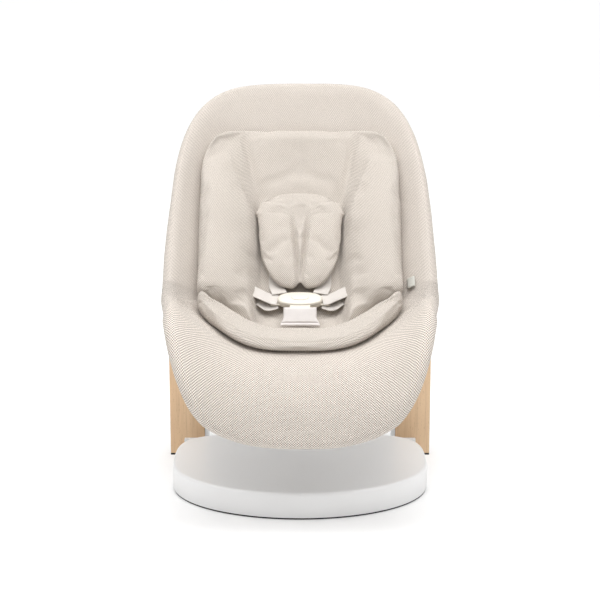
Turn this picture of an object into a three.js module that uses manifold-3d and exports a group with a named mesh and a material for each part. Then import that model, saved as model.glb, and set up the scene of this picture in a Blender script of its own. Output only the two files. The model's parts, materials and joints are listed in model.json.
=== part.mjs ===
// Baby bouncer seat: a padded bucket seat that rocks and reclines on a tube between two uprights.
// Millimetres, +Z up. The origin is on the floor, under the middle of the base. -Y is the baby's foot end.
import * as THREE from 'three';
import { mergeVertices } from 'three/addons/utils/BufferGeometryUtils.js';
import Module from 'manifold-3d';

const wasm = await Module();
wasm.setup();

// ---------------------------------------------------------------- driving dimensions
const FIT_GAP = 0.3;             // between pieces that touch
const SOFT_GAP = 2.5;              // between layers of padding

// base: D-shaped in plan, round at the front and nearly straight at the back
const BASE_WIDTH = 436;
const BASE_FRONT = 153;          // from the origin to the front edge
const BASE_BACK = 162;           // from the origin to the rear edge
const BASE_WIDEST_Y = 8;
const BASE_HEIGHT = 45;
const BASE_EDGE_RADIUS = 5;
const BASE_WALL = 3;
const BASE_FRONT_POWER = 2;
const BASE_BACK_POWER = 4.5;
const SOLE_THICKNESS = 2.5;
const SOLE_INSET = 2;
const BASE_PLATE_THICKNESS = 3;
const BALLAST_THICKNESS = 8;
const BALLAST_SHARE = 0.8;       // of the base's plan

// uprights
const BOARD_INNER_X = 173.2;
const BOARD_WIDTH = 62.8;
const BOARD_THICKNESS = 18;
const BOARD_TOP = 385;
const BOARD_CORNER_RADIUS = 34;
const FOOT_PAD_THICKNESS = 2.7;
const RAIL_THICKNESS = 4.5;
const RAIL_DEPTH = 56;
const RAIL_LEG_WIDTH = 38;
const CROSSBAR_DEPTH = 10;
const CROSSBAR_BOTTOM = 6;
const CROSSBAR_HEIGHT = 27;
const CROSSBAR_HALF_LENGTH = 210;
const SCREW_RADIUS = 3;
const SCREW_HEAD_RADIUS = 6;
const SCREW_HEAD_HEIGHT = 4;
const SCREW_CLEARANCE = 0.3;
const SCREW_TOP_MARGIN = 35;
const BOARD_SCREW_COUNT = 2;
const BASE_BOLT_X = 60;

// pivot tube and hub
const PIVOT_Z = 345;
const TUBE_RADIUS = 15;
const TUBE_WALL = 2.5;
const FLANGE_RADIUS = 27;
const FLANGE_THICKNESS = 9;
const SOCKET_LENGTH = 16;
const SOCKET_WALL = 6;
const RUNNING_CLEARANCE = 0.3;
const BUSH_WALL = 3.5;
const HUB_WALL = 5;
const HUB_HALF_LENGTH = 70;
const RING_OUTER_RADIUS = 43;
const RING_THICKNESS = 12;
const RING_TEETH = 36;
const RING_TOOTH_DEPTH = 1.6;
const SPRING_WIRE_RADIUS = 2;
const SPRING_COIL_RADIUS = 24;
const SPRING_TURNS = 4;
const CUP_OUTER_RADIUS = 33;
const CUP_WALL = 3;
const CUP_LENGTH = 27;

// seat bracket and recline lock
const ARM_X = 48;                // middle of each bracket arm
const ARM_THICKNESS = 10;
const ARM_RING_WALL = 9;
const ARM_WIDTH = 40;
const BRACKET_PLATE_WIDTH = 124;
const BRACKET_PLATE_LENGTH = 82;
const BRACKET_PLATE_THICKNESS = 5;
const BRACKET_SCREW_X = 30;
const BRACKET_SCREW_Y = 30;
const PAWL_WIDTH = 9;
const PAWL_LENGTH = 40;          // from its teeth to the lever's pin
const PAWL_HEIGHT = 10;
const PAWL_HEAD_LENGTH = 5;
const FORK_THICKNESS = 6;
const LEVER_PIN_RADIUS = 3;
const LEVER_PIN_OFFSET = 14;     // from the pawl's line towards the shell
const LEVER_BARREL_RADIUS = 8;
const LEVER_LENGTH = 96;
const LEVER_WIDTH = 46;
const LEVER_THICKNESS = 6;

// seat shell: drawn flat as (x across, y along, z above the shell), then bent along the side profile
const NOSE_ANGLE = 82;           // degrees above the horizontal at the foot end
const NOSE_LENGTH = 20;
const NOSE_RADIUS = 90;
const THIGH_ANGLE = -7;
const THIGH_LENGTH = 40;
const HIP_RADIUS = 140;
const BACK_ANGLE = 47;
const BACK_LENGTH = 415;
const PIVOT_TO_BACK = 102;       // pivot axis to the shell's inner face, square to the backrest
const PIVOT_ALONG_BACK = 146.7;  // from the hip to the pivot, along the backrest
const SHELL_WALL = 5;
const SHELL_HALF_WIDTH = 209;
const SHELL_CENTRE = 290;        // from the foot end of the profile
const SHELL_FOOT_OVERHANG = 4;
const SHELL_FOOT_POWER = 2.8;
const SHELL_HEAD_POWER = 3.9;
const SIDE_RISE = 80;
const HEAD_RISE = 55;
const FOOT_RISE = -5;
const BOWL_POWER = 2.6;
const BOSS_WIDTH = 136;
const BOSS_LENGTH = 88;
const BOSS_DEPTH = 12;

// covers
const PADDING = 12;
const COVER_GAP = 1;
const RIM_GAP = 0.6;             // past the shell's edge, and twice that more above it
const RIM_ROLL = 14;             // how far the padded rim stands out past the shell
const SEAM_EDGE = 134;           // seam between the two covers, at the seat's edges
const SEAM_RISE = 190;
const SEAM_POWER = 8;
const SEAM_GAP = 2;

// newborn insert
const INSERT_HALF_WIDTH = 172;
const INSERT_HEAD = 668;
const INSERT_FOOT = 128;
const INSERT_SPLIT = 252;        // between the roll and the back
const INSERT_BASE_THICKNESS = 14;
const BOLSTER_THICKNESS = 26;
const BOLSTER_INNER = 62;
const BOLSTER_OUTER = 118;
const ROLL_THICKNESS = 30;
const ROLL_SIDE_EXTRA = 12;
const TAG_Y = 347;
const TAG_WIDTH = 18;
const TAG_THICKNESS = 1.6;

// harness
const WEB_WIDTH = 25;
const WEB_THICKNESS = 2;
const SHOULDER_X = 34;
const SHOULDER_Y = 528;          // of the slots that the straps come through
const WAIST_X = 92;
const WAIST_Y = 347;
const CROTCH_Y = 268;
const PAD_HALF_WIDTH = 73;
const PAD_BOTTOM = 344;
const PAD_TOP = 534;
const PAD_THICKNESS = 18;
const PAD_LIFT = 6;              // above the insert, with the straps between
const BUCKLE_Y = 318;
const BUCKLE_LIFT = 46;
const BUCKLE_WIDTH = 74;
const BUCKLE_LENGTH = 33;
const BUCKLE_THICKNESS = 13;
const BUTTON_WIDTH = 30;
const BUTTON_LENGTH = 15;
const BUTTON_STAND = 2;          // above the buckle's face
const BUTTON_DEPTH = 3;          // below the buckle's face
const BUTTON_TRAVEL = 2.5;
const BUCKLE_TILT = 14;          // degrees flatter than the seat under it
const CROTCH_PAD_WIDTH = 62;
const CROTCH_PAD_THICKNESS = 4;
const SLOT_LENGTH = 30;
const SLOT_WIDTH = 11;
const ANCHOR_LENGTH = 46;
const ANCHOR_GAP = 1;
const ANCHOR_WIDTH = 9;
const ANCHOR_THICKNESS = 5;

// resolution
const PLAN_STEPS = 36;
const BASE_STEPS = 48;
const ROUND_STEPS = 24;
const SMALL_ROUND_STEPS = 10;
const ARCH_LENGTH = 1500;

// ---------------------------------------------------------------- derived sizes
const BOARD_FRONT_Y = BASE_BACK + FIT_GAP + CROSSBAR_DEPTH + FIT_GAP;
const BOARD_BACK_Y = BOARD_FRONT_Y + BOARD_THICKNESS;
const RAIL_BACK_Y = BOARD_FRONT_Y + RAIL_DEPTH;
const RAIL_OUTER_X = BOARD_INNER_X - FIT_GAP;
const RAIL_INNER_X = RAIL_OUTER_X - RAIL_THICKNESS;
const LEG_FRONT_Y = BOARD_BACK_Y + FIT_GAP;
const LEG_BACK_Y = LEG_FRONT_Y + RAIL_THICKNESS;
const LEG_MIDDLE_X = RAIL_INNER_X + RAIL_LEG_WIDTH / 2 + RAIL_THICKNESS / 2;
const PIVOT_Y = (BOARD_FRONT_Y + RAIL_BACK_Y) / 2;
const BUSH_INNER = TUBE_RADIUS + RUNNING_CLEARANCE;
const BUSH_OUTER = BUSH_INNER + BUSH_WALL;
const HUB_INNER = BUSH_OUTER + FIT_GAP;
const HUB_OUTER = HUB_INNER + HUB_WALL;
const ARM_RING_INNER = HUB_OUTER + RUNNING_CLEARANCE;
const ARM_RING_OUTER = ARM_RING_INNER + ARM_RING_WALL;
const FLANGE_INNER_X = RAIL_INNER_X - FIT_GAP - FLANGE_THICKNESS;
const BASE_BOTTOM = SOLE_THICKNESS + FIT_GAP;
const COVER_LIFT = PADDING + COVER_GAP;
const STATIONS = [0.06, 0.12, 0.2, 0.3, 0.4, 0.5, 0.6, 0.7, 0.8, 0.9, 1];
const WRAP_STATIONS = [0.9, 0.8];

const radians = THREE.MathUtils.degToRad;

// ---------------------------------------------------------------- materials
const finish = (color, roughness, metalness = 0) =>
  new THREE.MeshStandardMaterial({ color, roughness, metalness });
const WHITE_PLASTIC = finish(0xe7e4e2, 0.45);
const DARK_RUBBER = finish(0x55565a, 0.9);
const STEEL = finish(0x9a9ca0, 0.35, 0.9);
const WHITE_METAL = finish(0xdfe0e2, 0.4, 0.2);
const BEECH = finish(0xd7b491, 0.6);
const BUSH_PLASTIC = finish(0x3c3f44, 0.5);
const FINE_KNIT = finish(0xe9dfd5, 0.95);
const COARSE_KNIT = finish(0xe3dad1, 0.95);
const INSERT_KNIT = finish(0xeae0d6, 0.95);
const WEBBING = finish(0xded4ca, 0.9);
const CREAM_PLASTIC = finish(0xf9f1e6, 0.4);
const CROTCH_FABRIC = finish(0xece5e0, 0.9);
const TAG_FABRIC = finish(0xc4c3bb, 0.9);

// ---------------------------------------------------------------- solid helpers
function toManifold(geometry) {
  const bare = geometry.clone();
  bare.deleteAttribute('normal');
  bare.deleteAttribute('uv');
  const merged = mergeVertices(bare, 1e-3);
  const triVerts = new Uint32Array(merged.index.array);
  const vertProperties = new Float32Array(merged.attributes.position.array);
  return new wasm.Manifold(new wasm.Mesh({ numProp: 3, vertProperties, triVerts }));
}

function toGeometry(manifold) {
  const mesh = manifold.getMesh();
  const geometry = new THREE.BufferGeometry();
  geometry.setAttribute('position', new THREE.BufferAttribute(new Float32Array(mesh.vertProperties), 3));
  geometry.setIndex(new THREE.BufferAttribute(new Uint32Array(mesh.triVerts), 1));
  return geometry;
}

function cut(geometry, ...tools) {
  let body = toManifold(geometry);
  for (const tool of tools) {
    body = body.subtract(toManifold(tool));
  }
  return toGeometry(body);
}

function join(geometry, ...others) {
  let body = toManifold(geometry);
  for (const other of others) {
    body = body.add(toManifold(other));
  }
  return toGeometry(body);
}

function keepInside(geometry, tool) {
  return toGeometry(toManifold(geometry).intersect(toManifold(tool)));
}

function box(x0, x1, y0, y1, z0, z1, segments = [1, 1, 1]) {
  const geometry = new THREE.BoxGeometry(x1 - x0, y1 - y0, z1 - z0, ...segments);
  return geometry.translate((x0 + x1) / 2, (y0 + y1) / 2, (z0 + z1) / 2);
}

// a ring or a solid cylinder along X, centred on the X axis
function turned(inner, outer, x0, x1, steps = ROUND_STEPS) {
  const points = inner > 0
    ? [[inner, x0], [outer, x0], [outer, x1], [inner, x1], [inner, x0]]
    : [[0, x0], [outer, x0], [outer, x1], [0, x1]];
  return lathed(points, steps);
}

// a profile of [radius, x] points turned about the X axis
function lathed(points, steps = ROUND_STEPS) {
  const profile = points.map(([radius, x]) => new THREE.Vector2(radius, x));
  return new THREE.LatheGeometry(profile, steps).rotateZ(-Math.PI / 2);
}

// a screw along Y with its head at the +Y end: the head's underside is at headY and the tip at tipY
function screwAlongY(x, headY, tipY, z) {
  const points = [[0, tipY], [SCREW_RADIUS, tipY], [SCREW_RADIUS, headY], [SCREW_HEAD_RADIUS, headY],
    [SCREW_HEAD_RADIUS, headY + SCREW_HEAD_HEIGHT * 0.6],
    [SCREW_HEAD_RADIUS * 0.6, headY + SCREW_HEAD_HEIGHT],
    [0, headY + SCREW_HEAD_HEIGHT]];
  const profile = points.map(([radius, y]) => new THREE.Vector2(radius, y));
  return new THREE.LatheGeometry(profile, SMALL_ROUND_STEPS).translate(x, 0, z);
}

function holeAlongY(x, y0, y1, z, radius = SCREW_RADIUS + SCREW_CLEARANCE) {
  const pin = new THREE.CylinderGeometry(radius, radius, y1 - y0, SMALL_ROUND_STEPS);
  return pin.translate(x, (y0 + y1) / 2, z);
}

// a closed body between a first point and a last point, through rings of equal length;
// the rings run counterclockwise seen from the first point's side. Each quad is split from its inner ring's
// corner to its outer ring's next corner, so that two layers with the same plan have the same facets; of two
// rings as wide as each other, the higher one counts as the inner one
function ringBody(first, rings, last) {
  const steps = rings[0].length;
  const positions = [...first, ...rings.flat(2), ...last];
  const at = (ring, step) => 1 + ring * steps + (step % steps);
  const lastIndex = positions.length / 3 - 1;
  const spread = rings.map((ring) => Math.max(...ring.map(([x]) => x)) - 1e-3 * ring[0][2]);
  const index = [];
  for (let step = 0; step < steps; step++) {
    index.push(0, at(0, step), at(0, step + 1));
    for (let ring = 0; ring + 1 < rings.length; ring++) {
      const [a, b] = [at(ring, step), at(ring + 1, step)];
      const [c, d] = [at(ring + 1, step + 1), at(ring, step + 1)];
      index.push(...(spread[ring + 1] >= spread[ring] ? [a, b, c, a, c, d] : [a, b, d, b, c, d]));
    }
    index.push(at(rings.length - 1, step), lastIndex, at(rings.length - 1, step + 1));
  }
  const geometry = new THREE.BufferGeometry();
  geometry.setAttribute('position', new THREE.BufferAttribute(new Float32Array(positions), 3));
  geometry.setIndex(index);
  return geometry;
}

// a flat sheet with thickness, over a grid of u and v from 0 to 1; point(u, v, side) with side 0 or 1
function sheetBody(columns, rows, point) {
  const positions = [];
  for (let side = 0; side < 2; side++) {
    for (let row = 0; row <= rows; row++) {
      for (let column = 0; column <= columns; column++) {
        positions.push(...point(column / columns, row / rows, side));
      }
    }
  }
  const at = (side, column, row) => side * (columns + 1) * (rows + 1) + row * (columns + 1) + column;
  const index = [];
  const quad = (a, b, c, d) => index.push(a, b, c, a, c, d);
  for (let row = 0; row < rows; row++) {
    for (let column = 0; column < columns; column++) {
      quad(at(1, column, row), at(1, column + 1, row), at(1, column + 1, row + 1), at(1, column, row + 1));
      quad(at(0, column, row), at(0, column, row + 1), at(0, column + 1, row + 1), at(0, column + 1, row));
    }
    quad(at(0, 0, row), at(1, 0, row), at(1, 0, row + 1), at(0, 0, row + 1));
    quad(at(1, columns, row), at(0, columns, row), at(0, columns, row + 1), at(1, columns, row + 1));
  }
  for (let column = 0; column < columns; column++) {
    quad(at(1, column, 0), at(0, column, 0), at(0, column + 1, 0), at(1, column + 1, 0));
    quad(at(0, column, rows), at(1, column, rows), at(1, column + 1, rows), at(0, column + 1, rows));
  }
  const geometry = new THREE.BufferGeometry();
  geometry.setAttribute('position', new THREE.BufferAttribute(new Float32Array(positions), 3));
  geometry.setIndex(index);
  return geometry;
}

// ---------------------------------------------------------------- side profile and bending
// headings in degrees; an arc turns from the previous heading to its own
const PROFILE = [
  { length: NOSE_LENGTH },
  { radius: NOSE_RADIUS, to: THIGH_ANGLE },
  { length: THIGH_LENGTH },
  { radius: HIP_RADIUS, to: BACK_ANGLE },
  { length: BACK_LENGTH },
];

function walkProfile(distance) {
  let [y, z, heading] = [0, 0, radians(NOSE_ANGLE)];
  let left = distance;
  for (const piece of PROFILE) {
    const isLast = piece === PROFILE.at(-1);
    const step = isLast ? left : Math.min(left, lengthOf(piece, heading));
    [y, z, heading] = piece.radius ? alongArc(piece, y, z, heading, step) : alongLine(y, z, heading, step);
    left -= step;
    if (left <= 0) {
      break;
    }
  }
  return { y, z, heading };
}

function lengthOf(piece, heading) {
  return piece.radius ? piece.radius * Math.abs(radians(piece.to) - heading) : piece.length;
}

function alongLine(y, z, heading, step) {
  return [y + step * Math.cos(heading), z + step * Math.sin(heading), heading];
}

function alongArc({ radius, to }, y, z, heading, step) {
  const turn = Math.sign(radians(to) - heading);
  const end = heading + turn * step / radius;
  return [
    y + turn * radius * (Math.sin(end) - Math.sin(heading)),
    z - turn * radius * (Math.cos(end) - Math.cos(heading)),
    end,
  ];
}

const NOSE_ARC = NOSE_RADIUS * radians(NOSE_ANGLE - THIGH_ANGLE);
const HIP_ARC = HIP_RADIUS * radians(BACK_ANGLE - THIGH_ANGLE);
const BACK_START = NOSE_LENGTH + NOSE_ARC + THIGH_LENGTH + HIP_ARC;
const PROFILE_LENGTH = BACK_START + BACK_LENGTH;
const PIVOT_ON_BACK = BACK_START + PIVOT_ALONG_BACK;

// the profile is hung so that the backrest passes the pivot at PIVOT_TO_BACK
const unplaced = walkProfile(PIVOT_ON_BACK);
const PROFILE_Y = PIVOT_Y - PIVOT_TO_BACK * Math.sin(radians(BACK_ANGLE)) - unplaced.y;
const PROFILE_Z = PIVOT_Z + PIVOT_TO_BACK * Math.cos(radians(BACK_ANGLE)) - unplaced.z;

function bentPoint(x, along, above) {
  const { y, z, heading } = walkProfile(along);
  return [x, PROFILE_Y + y - above * Math.sin(heading), PROFILE_Z + z + above * Math.cos(heading)];
}

// a boolean merges the triangles that lie in one plane, so a flat body that will be bent
// is arched while it's cut
function arch(geometry, sign) {
  const position = geometry.attributes.position;
  for (let i = 0; i < position.count; i++) {
    position.setZ(i, position.getZ(i) + sign * position.getY(i) ** 2 / ARCH_LENGTH);
  }
  return geometry;
}

const cutFlat = (geometry, ...tools) => arch(cut(arch(geometry, 1), ...tools), -1);
const keepFlat = (geometry, tool) => arch(keepInside(arch(geometry, 1), tool), -1);

function bend(geometry) {
  const position = geometry.attributes.position;
  for (let i = 0; i < position.count; i++) {
    position.setXYZ(i, ...bentPoint(position.getX(i), position.getY(i), position.getZ(i)));
  }
  return geometry;
}

// ---------------------------------------------------------------- seat plan
const SHELL_PLAN = {
  centre: SHELL_CENTRE,
  toHead: PROFILE_LENGTH - SHELL_CENTRE,
  toFoot: SHELL_CENTRE + SHELL_FOOT_OVERHANG,
  halfWidth: SHELL_HALF_WIDTH,
  headPower: SHELL_HEAD_POWER,
  footPower: SHELL_FOOT_POWER,
};

// distance from the plan's centre to its outline in a direction (0 is towards the head, +X at 90 degrees)
function planReach(plan, angle) {
  const [across, along] = [Math.abs(Math.sin(angle)), Math.abs(Math.cos(angle))];
  const headward = Math.cos(angle) > 0;
  const reach = headward ? plan.toHead : plan.toFoot;
  const power = headward ? plan.headPower : plan.footPower;
  return ((across / plan.halfWidth) ** power + (along / reach) ** power) ** (-1 / power);
}

// the outline direction's share of side (1) against end (0)
function sideShare(plan, x, y) {
  const headward = y > plan.centre;
  const power = headward ? plan.headPower : plan.footPower;
  const side = (Math.abs(x) / plan.halfWidth) ** power;
  const end = (Math.abs(y - plan.centre) / (headward ? plan.toHead : plan.toFoot)) ** power;
  const radius = (side + end) ** (1 / power);
  return { share: side + end > 0 ? side / (side + end) : 0, radius };
}

// height of the shell's inner face above the bent profile
function bowl(x, y) {
  const { share, radius } = sideShare(SHELL_PLAN, x, y);
  const end = y > SHELL_PLAN.centre ? HEAD_RISE : FOOT_RISE;
  return (share * SIDE_RISE + (1 - share) * end) * radius ** BOWL_POWER;
}

const planAngles = Array.from({ length: PLAN_STEPS }, (_, step) => 2 * Math.PI * step / PLAN_STEPS);

function planPoint(plan, angle, share, extra = 0) {
  const reach = planReach(plan, angle) * share + extra;
  return [reach * Math.sin(angle), plan.centre + reach * Math.cos(angle)];
}

// one ring of points at a share of the plan, pushed out by extra, each at height(x, y) of the unpushed point
function planRing(plan, share, height, extra = 0) {
  return planAngles.toReversed().map((angle) => {
    const [x, y] = planPoint(plan, angle, share, extra);
    return [x, y, height(...planPoint(plan, angle, share))];
  });
}

// ---------------------------------------------------------------- base
function basePlan(inset, z) {
  return Array.from({ length: BASE_STEPS }, (_, step) => {
    const angle = 2 * Math.PI * step / BASE_STEPS;
    const [c, s] = [Math.cos(angle), Math.sin(angle)];
    const power = s < 0 ? BASE_FRONT_POWER : BASE_BACK_POWER;
    const reach = (s < 0 ? BASE_FRONT + BASE_WIDEST_Y : BASE_BACK - BASE_WIDEST_Y) - inset;
    const [across, along] = [Math.abs(c) / (BASE_WIDTH / 2 - inset), Math.abs(s) / reach];
    const radius = (across ** power + along ** power) ** (-1 / power);
    return [radius * c, BASE_WIDEST_Y + radius * s, z];
  });
}

function basePlate(inset, bottom, top) {
  const centre = [0, BASE_WIDEST_Y];
  return ringBody([...centre, top], [basePlan(inset, top), basePlan(inset, bottom)], [...centre, bottom]);
}

function baseCover() {
  const edge = (turn) => basePlan(BASE_EDGE_RADIUS * (1 - Math.sin(turn)),
    BASE_HEIGHT - BASE_EDGE_RADIUS * (1 - Math.cos(turn)));
  const rings = [0, 30, 60, 90].map((degrees) => edge(radians(degrees)));
  const innerTop = BASE_HEIGHT - BASE_WALL;
  rings.push(basePlan(0, BASE_BOTTOM));
  rings.push(basePlan(BASE_WALL, BASE_BOTTOM));
  rings.push(basePlan(BASE_WALL, innerTop));
  const shell = ringBody([0, BASE_WIDEST_Y, BASE_HEIGHT], rings, [0, BASE_WIDEST_Y, innerTop]);
  const holes = [-1, 1].map((side) =>
    holeAlongY(side * BASE_BOLT_X, BASE_BACK - 3 * BASE_WALL, BASE_BACK + BASE_WALL, BASE_BOLT_Z));
  return cut(shell, ...holes);
}

const PLATE_BOTTOM = BASE_BOTTOM;
const PLATE_TOP = PLATE_BOTTOM + BASE_PLATE_THICKNESS;
const BALLAST_BOTTOM = PLATE_TOP + FIT_GAP;
const BALLAST_TOP = BALLAST_BOTTOM + BALLAST_THICKNESS;
const BASE_BOLT_Z = BALLAST_BOTTOM + BALLAST_THICKNESS / 2;
const BASE_BOLT_TIP_Y = BASE_BACK - 30;

function ballast() {
  const inset = BASE_WIDTH / 2 * (1 - BALLAST_SHARE) / 2;
  const holes = [-1, 1].map((side) =>
    holeAlongY(side * BASE_BOLT_X, BASE_BOLT_TIP_Y - 2, BASE_BACK, BASE_BOLT_Z));
  return cut(basePlate(inset, BALLAST_BOTTOM, BALLAST_TOP), ...holes);
}

function crossbar() {
  const [y0, y1] = [BASE_BACK + FIT_GAP, BASE_BACK + FIT_GAP + CROSSBAR_DEPTH];
  const bar = box(-CROSSBAR_HALF_LENGTH, CROSSBAR_HALF_LENGTH, y0, y1,
    CROSSBAR_BOTTOM, CROSSBAR_BOTTOM + CROSSBAR_HEIGHT);
  const holes = [-1, 1].flatMap((side) => [
    holeAlongY(side * BASE_BOLT_X, y0 - 1, y1 + 1, BASE_BOLT_Z),
    holeAlongY(side * LEG_MIDDLE_X, y0 - 1, y1 + 1, FOOT_BOLT_Z),
  ]);
  return cut(bar, ...holes);
}

// ---------------------------------------------------------------- uprights (drawn on the +X side)
const FOOT_BOLT_Z = CROSSBAR_BOTTOM + CROSSBAR_HEIGHT / 2;
const BOARD_BOTTOM = FOOT_PAD_THICKNESS + FIT_GAP;
const boardScrewHeights = Array.from({ length: BOARD_SCREW_COUNT }, (_, number) => {
  const low = CROSSBAR_BOTTOM + CROSSBAR_HEIGHT + 2 * SCREW_TOP_MARGIN;
  return low + (BOARD_TOP - SCREW_TOP_MARGIN - low) * number / (BOARD_SCREW_COUNT - 1);
});
const BOARD_SCREW_TIP_Y = BOARD_FRONT_Y + BOARD_THICKNESS / 4;

function legHoles(y0) {
  const screws = boardScrewHeights.map((z) => holeAlongY(LEG_MIDDLE_X, y0, LEG_BACK_Y + 1, z));
  return [...screws, holeAlongY(LEG_MIDDLE_X, BOARD_FRONT_Y - 1, LEG_BACK_Y + 1, FOOT_BOLT_Z)];
}

function board() {
  const [x0, x1] = [BOARD_INNER_X, BOARD_INNER_X + BOARD_WIDTH];
  const shape = new THREE.Shape();
  shape.moveTo(x0, BOARD_BOTTOM);
  shape.lineTo(x1, BOARD_BOTTOM);
  shape.lineTo(x1, BOARD_TOP - BOARD_CORNER_RADIUS);
  const corner = [x1 - BOARD_CORNER_RADIUS, BOARD_TOP - BOARD_CORNER_RADIUS];
  shape.absarc(...corner, BOARD_CORNER_RADIUS, 0, Math.PI / 2);
  shape.lineTo(x0, BOARD_TOP);
  const blank = new THREE.ExtrudeGeometry(shape,
    { depth: BOARD_THICKNESS, bevelEnabled: false, curveSegments: 6 });
  blank.rotateX(Math.PI / 2).translate(0, BOARD_BACK_Y, 0);
  return cut(blank, ...legHoles(BOARD_SCREW_TIP_Y - 1));
}

function rail() {
  const shape = new THREE.Shape();
  const corner = RAIL_DEPTH / 2;
  shape.moveTo(BOARD_FRONT_Y, FIT_GAP);
  shape.lineTo(RAIL_BACK_Y, FIT_GAP);
  shape.lineTo(RAIL_BACK_Y, BOARD_TOP - corner);
  shape.absarc(RAIL_BACK_Y - corner, BOARD_TOP - corner, corner, 0, Math.PI / 2);
  shape.lineTo(BOARD_FRONT_Y, BOARD_TOP);
  const fin = new THREE.ExtrudeGeometry(shape,
    { depth: RAIL_THICKNESS, bevelEnabled: false, curveSegments: 8 });
  fin.rotateY(Math.PI / 2).rotateX(Math.PI / 2).translate(RAIL_INNER_X, 0, 0);
  const leg = box(RAIL_INNER_X + RAIL_THICKNESS / 2, RAIL_INNER_X + RAIL_LEG_WIDTH + RAIL_THICKNESS / 2,
    LEG_FRONT_Y, LEG_BACK_Y, FIT_GAP, BOARD_TOP - corner / 2);
  return cut(join(fin, leg), ...legHoles(LEG_FRONT_Y - 1), ...flangeHoles());
}

function flangeScrewHeights() {
  const offset = (TUBE_RADIUS + FLANGE_RADIUS) / 2;
  return [PIVOT_Z - offset, PIVOT_Z + offset];
}

function flangeHoles() {
  const radius = SCREW_RADIUS + SCREW_CLEARANCE;
  return flangeScrewHeights().map((z) =>
    turned(0, radius, FLANGE_INNER_X - 1, RAIL_OUTER_X + 1, SMALL_ROUND_STEPS).translate(0, PIVOT_Y, z));
}

function flangeScrew(z) {
  const head = RAIL_OUTER_X + FIT_GAP;
  const tip = FLANGE_INNER_X + FLANGE_THICKNESS / 3;
  const points = [[0, tip], [SCREW_RADIUS, tip], [SCREW_RADIUS, head], [SCREW_HEAD_RADIUS * 0.8, head],
    [SCREW_HEAD_RADIUS * 0.8, head + SCREW_HEAD_HEIGHT / 2], [0, head + SCREW_HEAD_HEIGHT / 2]];
  return lathed(points, SMALL_ROUND_STEPS).translate(0, PIVOT_Y, z);
}

function flange() {
  const socket = TUBE_RADIUS + FIT_GAP + SOCKET_WALL;
  const body = lathed([
    [TUBE_RADIUS + FIT_GAP, FLANGE_INNER_X - SOCKET_LENGTH], [socket, FLANGE_INNER_X - SOCKET_LENGTH],
    [socket, FLANGE_INNER_X], [FLANGE_RADIUS, FLANGE_INNER_X],
    [FLANGE_RADIUS, FLANGE_INNER_X + FLANGE_THICKNESS],
    [TUBE_RADIUS + FIT_GAP, FLANGE_INNER_X + FLANGE_THICKNESS],
    [TUBE_RADIUS + FIT_GAP, FLANGE_INNER_X - SOCKET_LENGTH]]);
  return cut(body.translate(0, PIVOT_Y, PIVOT_Z), ...flangeHoles());
}

// ---------------------------------------------------------------- pivot, hub and springs (about the X axis)
const BUSH_END_X = HUB_HALF_LENGTH - 1;
const SPRING_START_X = HUB_HALF_LENGTH + 4;
const CUP_START_X = HUB_HALF_LENGTH + 1;
const CUP_END_X = CUP_START_X + CUP_LENGTH;

const pivotTube = () =>
  turned(TUBE_RADIUS - TUBE_WALL, TUBE_RADIUS, FIT_GAP - RAIL_INNER_X, RAIL_INNER_X - FIT_GAP);
const bush = () => turned(BUSH_INNER, BUSH_OUTER, -BUSH_END_X, BUSH_END_X);
const hubCore = () => turned(HUB_INNER, HUB_OUTER, -HUB_HALF_LENGTH, HUB_HALF_LENGTH);

function springCup() {
  const inner = TUBE_RADIUS + FIT_GAP;
  return lathed([[inner, CUP_END_X - CUP_WALL], [CUP_OUTER_RADIUS - CUP_WALL, CUP_END_X - CUP_WALL],
    [CUP_OUTER_RADIUS - CUP_WALL, CUP_START_X], [CUP_OUTER_RADIUS, CUP_START_X],
    [CUP_OUTER_RADIUS, CUP_END_X - CUP_WALL], [CUP_OUTER_RADIUS - CUP_WALL, CUP_END_X],
    [inner, CUP_END_X], [inner, CUP_END_X - CUP_WALL]]);
}

function torsionSpring() {
  const room = CUP_END_X - CUP_WALL - SPRING_START_X - 2 * SPRING_WIRE_RADIUS;
  const stepsPerTurn = 9;
  const points = [];
  for (let step = 0; step <= SPRING_TURNS * stepsPerTurn; step++) {
    const angle = 2 * Math.PI * step / stepsPerTurn;
    const x = SPRING_START_X + room * step / (SPRING_TURNS * stepsPerTurn);
    const [y, z] = [SPRING_COIL_RADIUS * Math.cos(angle), SPRING_COIL_RADIUS * Math.sin(angle)];
    points.push(new THREE.Vector3(x, y, z));
  }
  const path = new THREE.CatmullRomCurve3(points);
  const wire = new THREE.Shape().absarc(0, 0, SPRING_WIRE_RADIUS, 0, 2 * Math.PI);
  return new THREE.ExtrudeGeometry(wire,
    { extrudePath: path, steps: points.length - 1, curveSegments: 3, bevelEnabled: false });
}

function reclineRing() {
  const outline = Array.from({ length: 2 * RING_TEETH }, (_, corner) => {
    const radius = RING_OUTER_RADIUS - (corner % 2) * RING_TOOTH_DEPTH;
    const angle = Math.PI * corner / RING_TEETH;
    return new THREE.Vector2(radius * Math.cos(angle), radius * Math.sin(angle));
  });
  const shape = new THREE.Shape(outline);
  shape.holes.push(new THREE.Path().absarc(0, 0, HUB_OUTER + FIT_GAP, 0, 2 * Math.PI));
  const ring = new THREE.ExtrudeGeometry(shape,
    { depth: RING_THICKNESS, bevelEnabled: false, curveSegments: 16 });
  return ring.rotateY(Math.PI / 2).translate(-RING_THICKNESS / 2, 0, 0);
}

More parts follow.
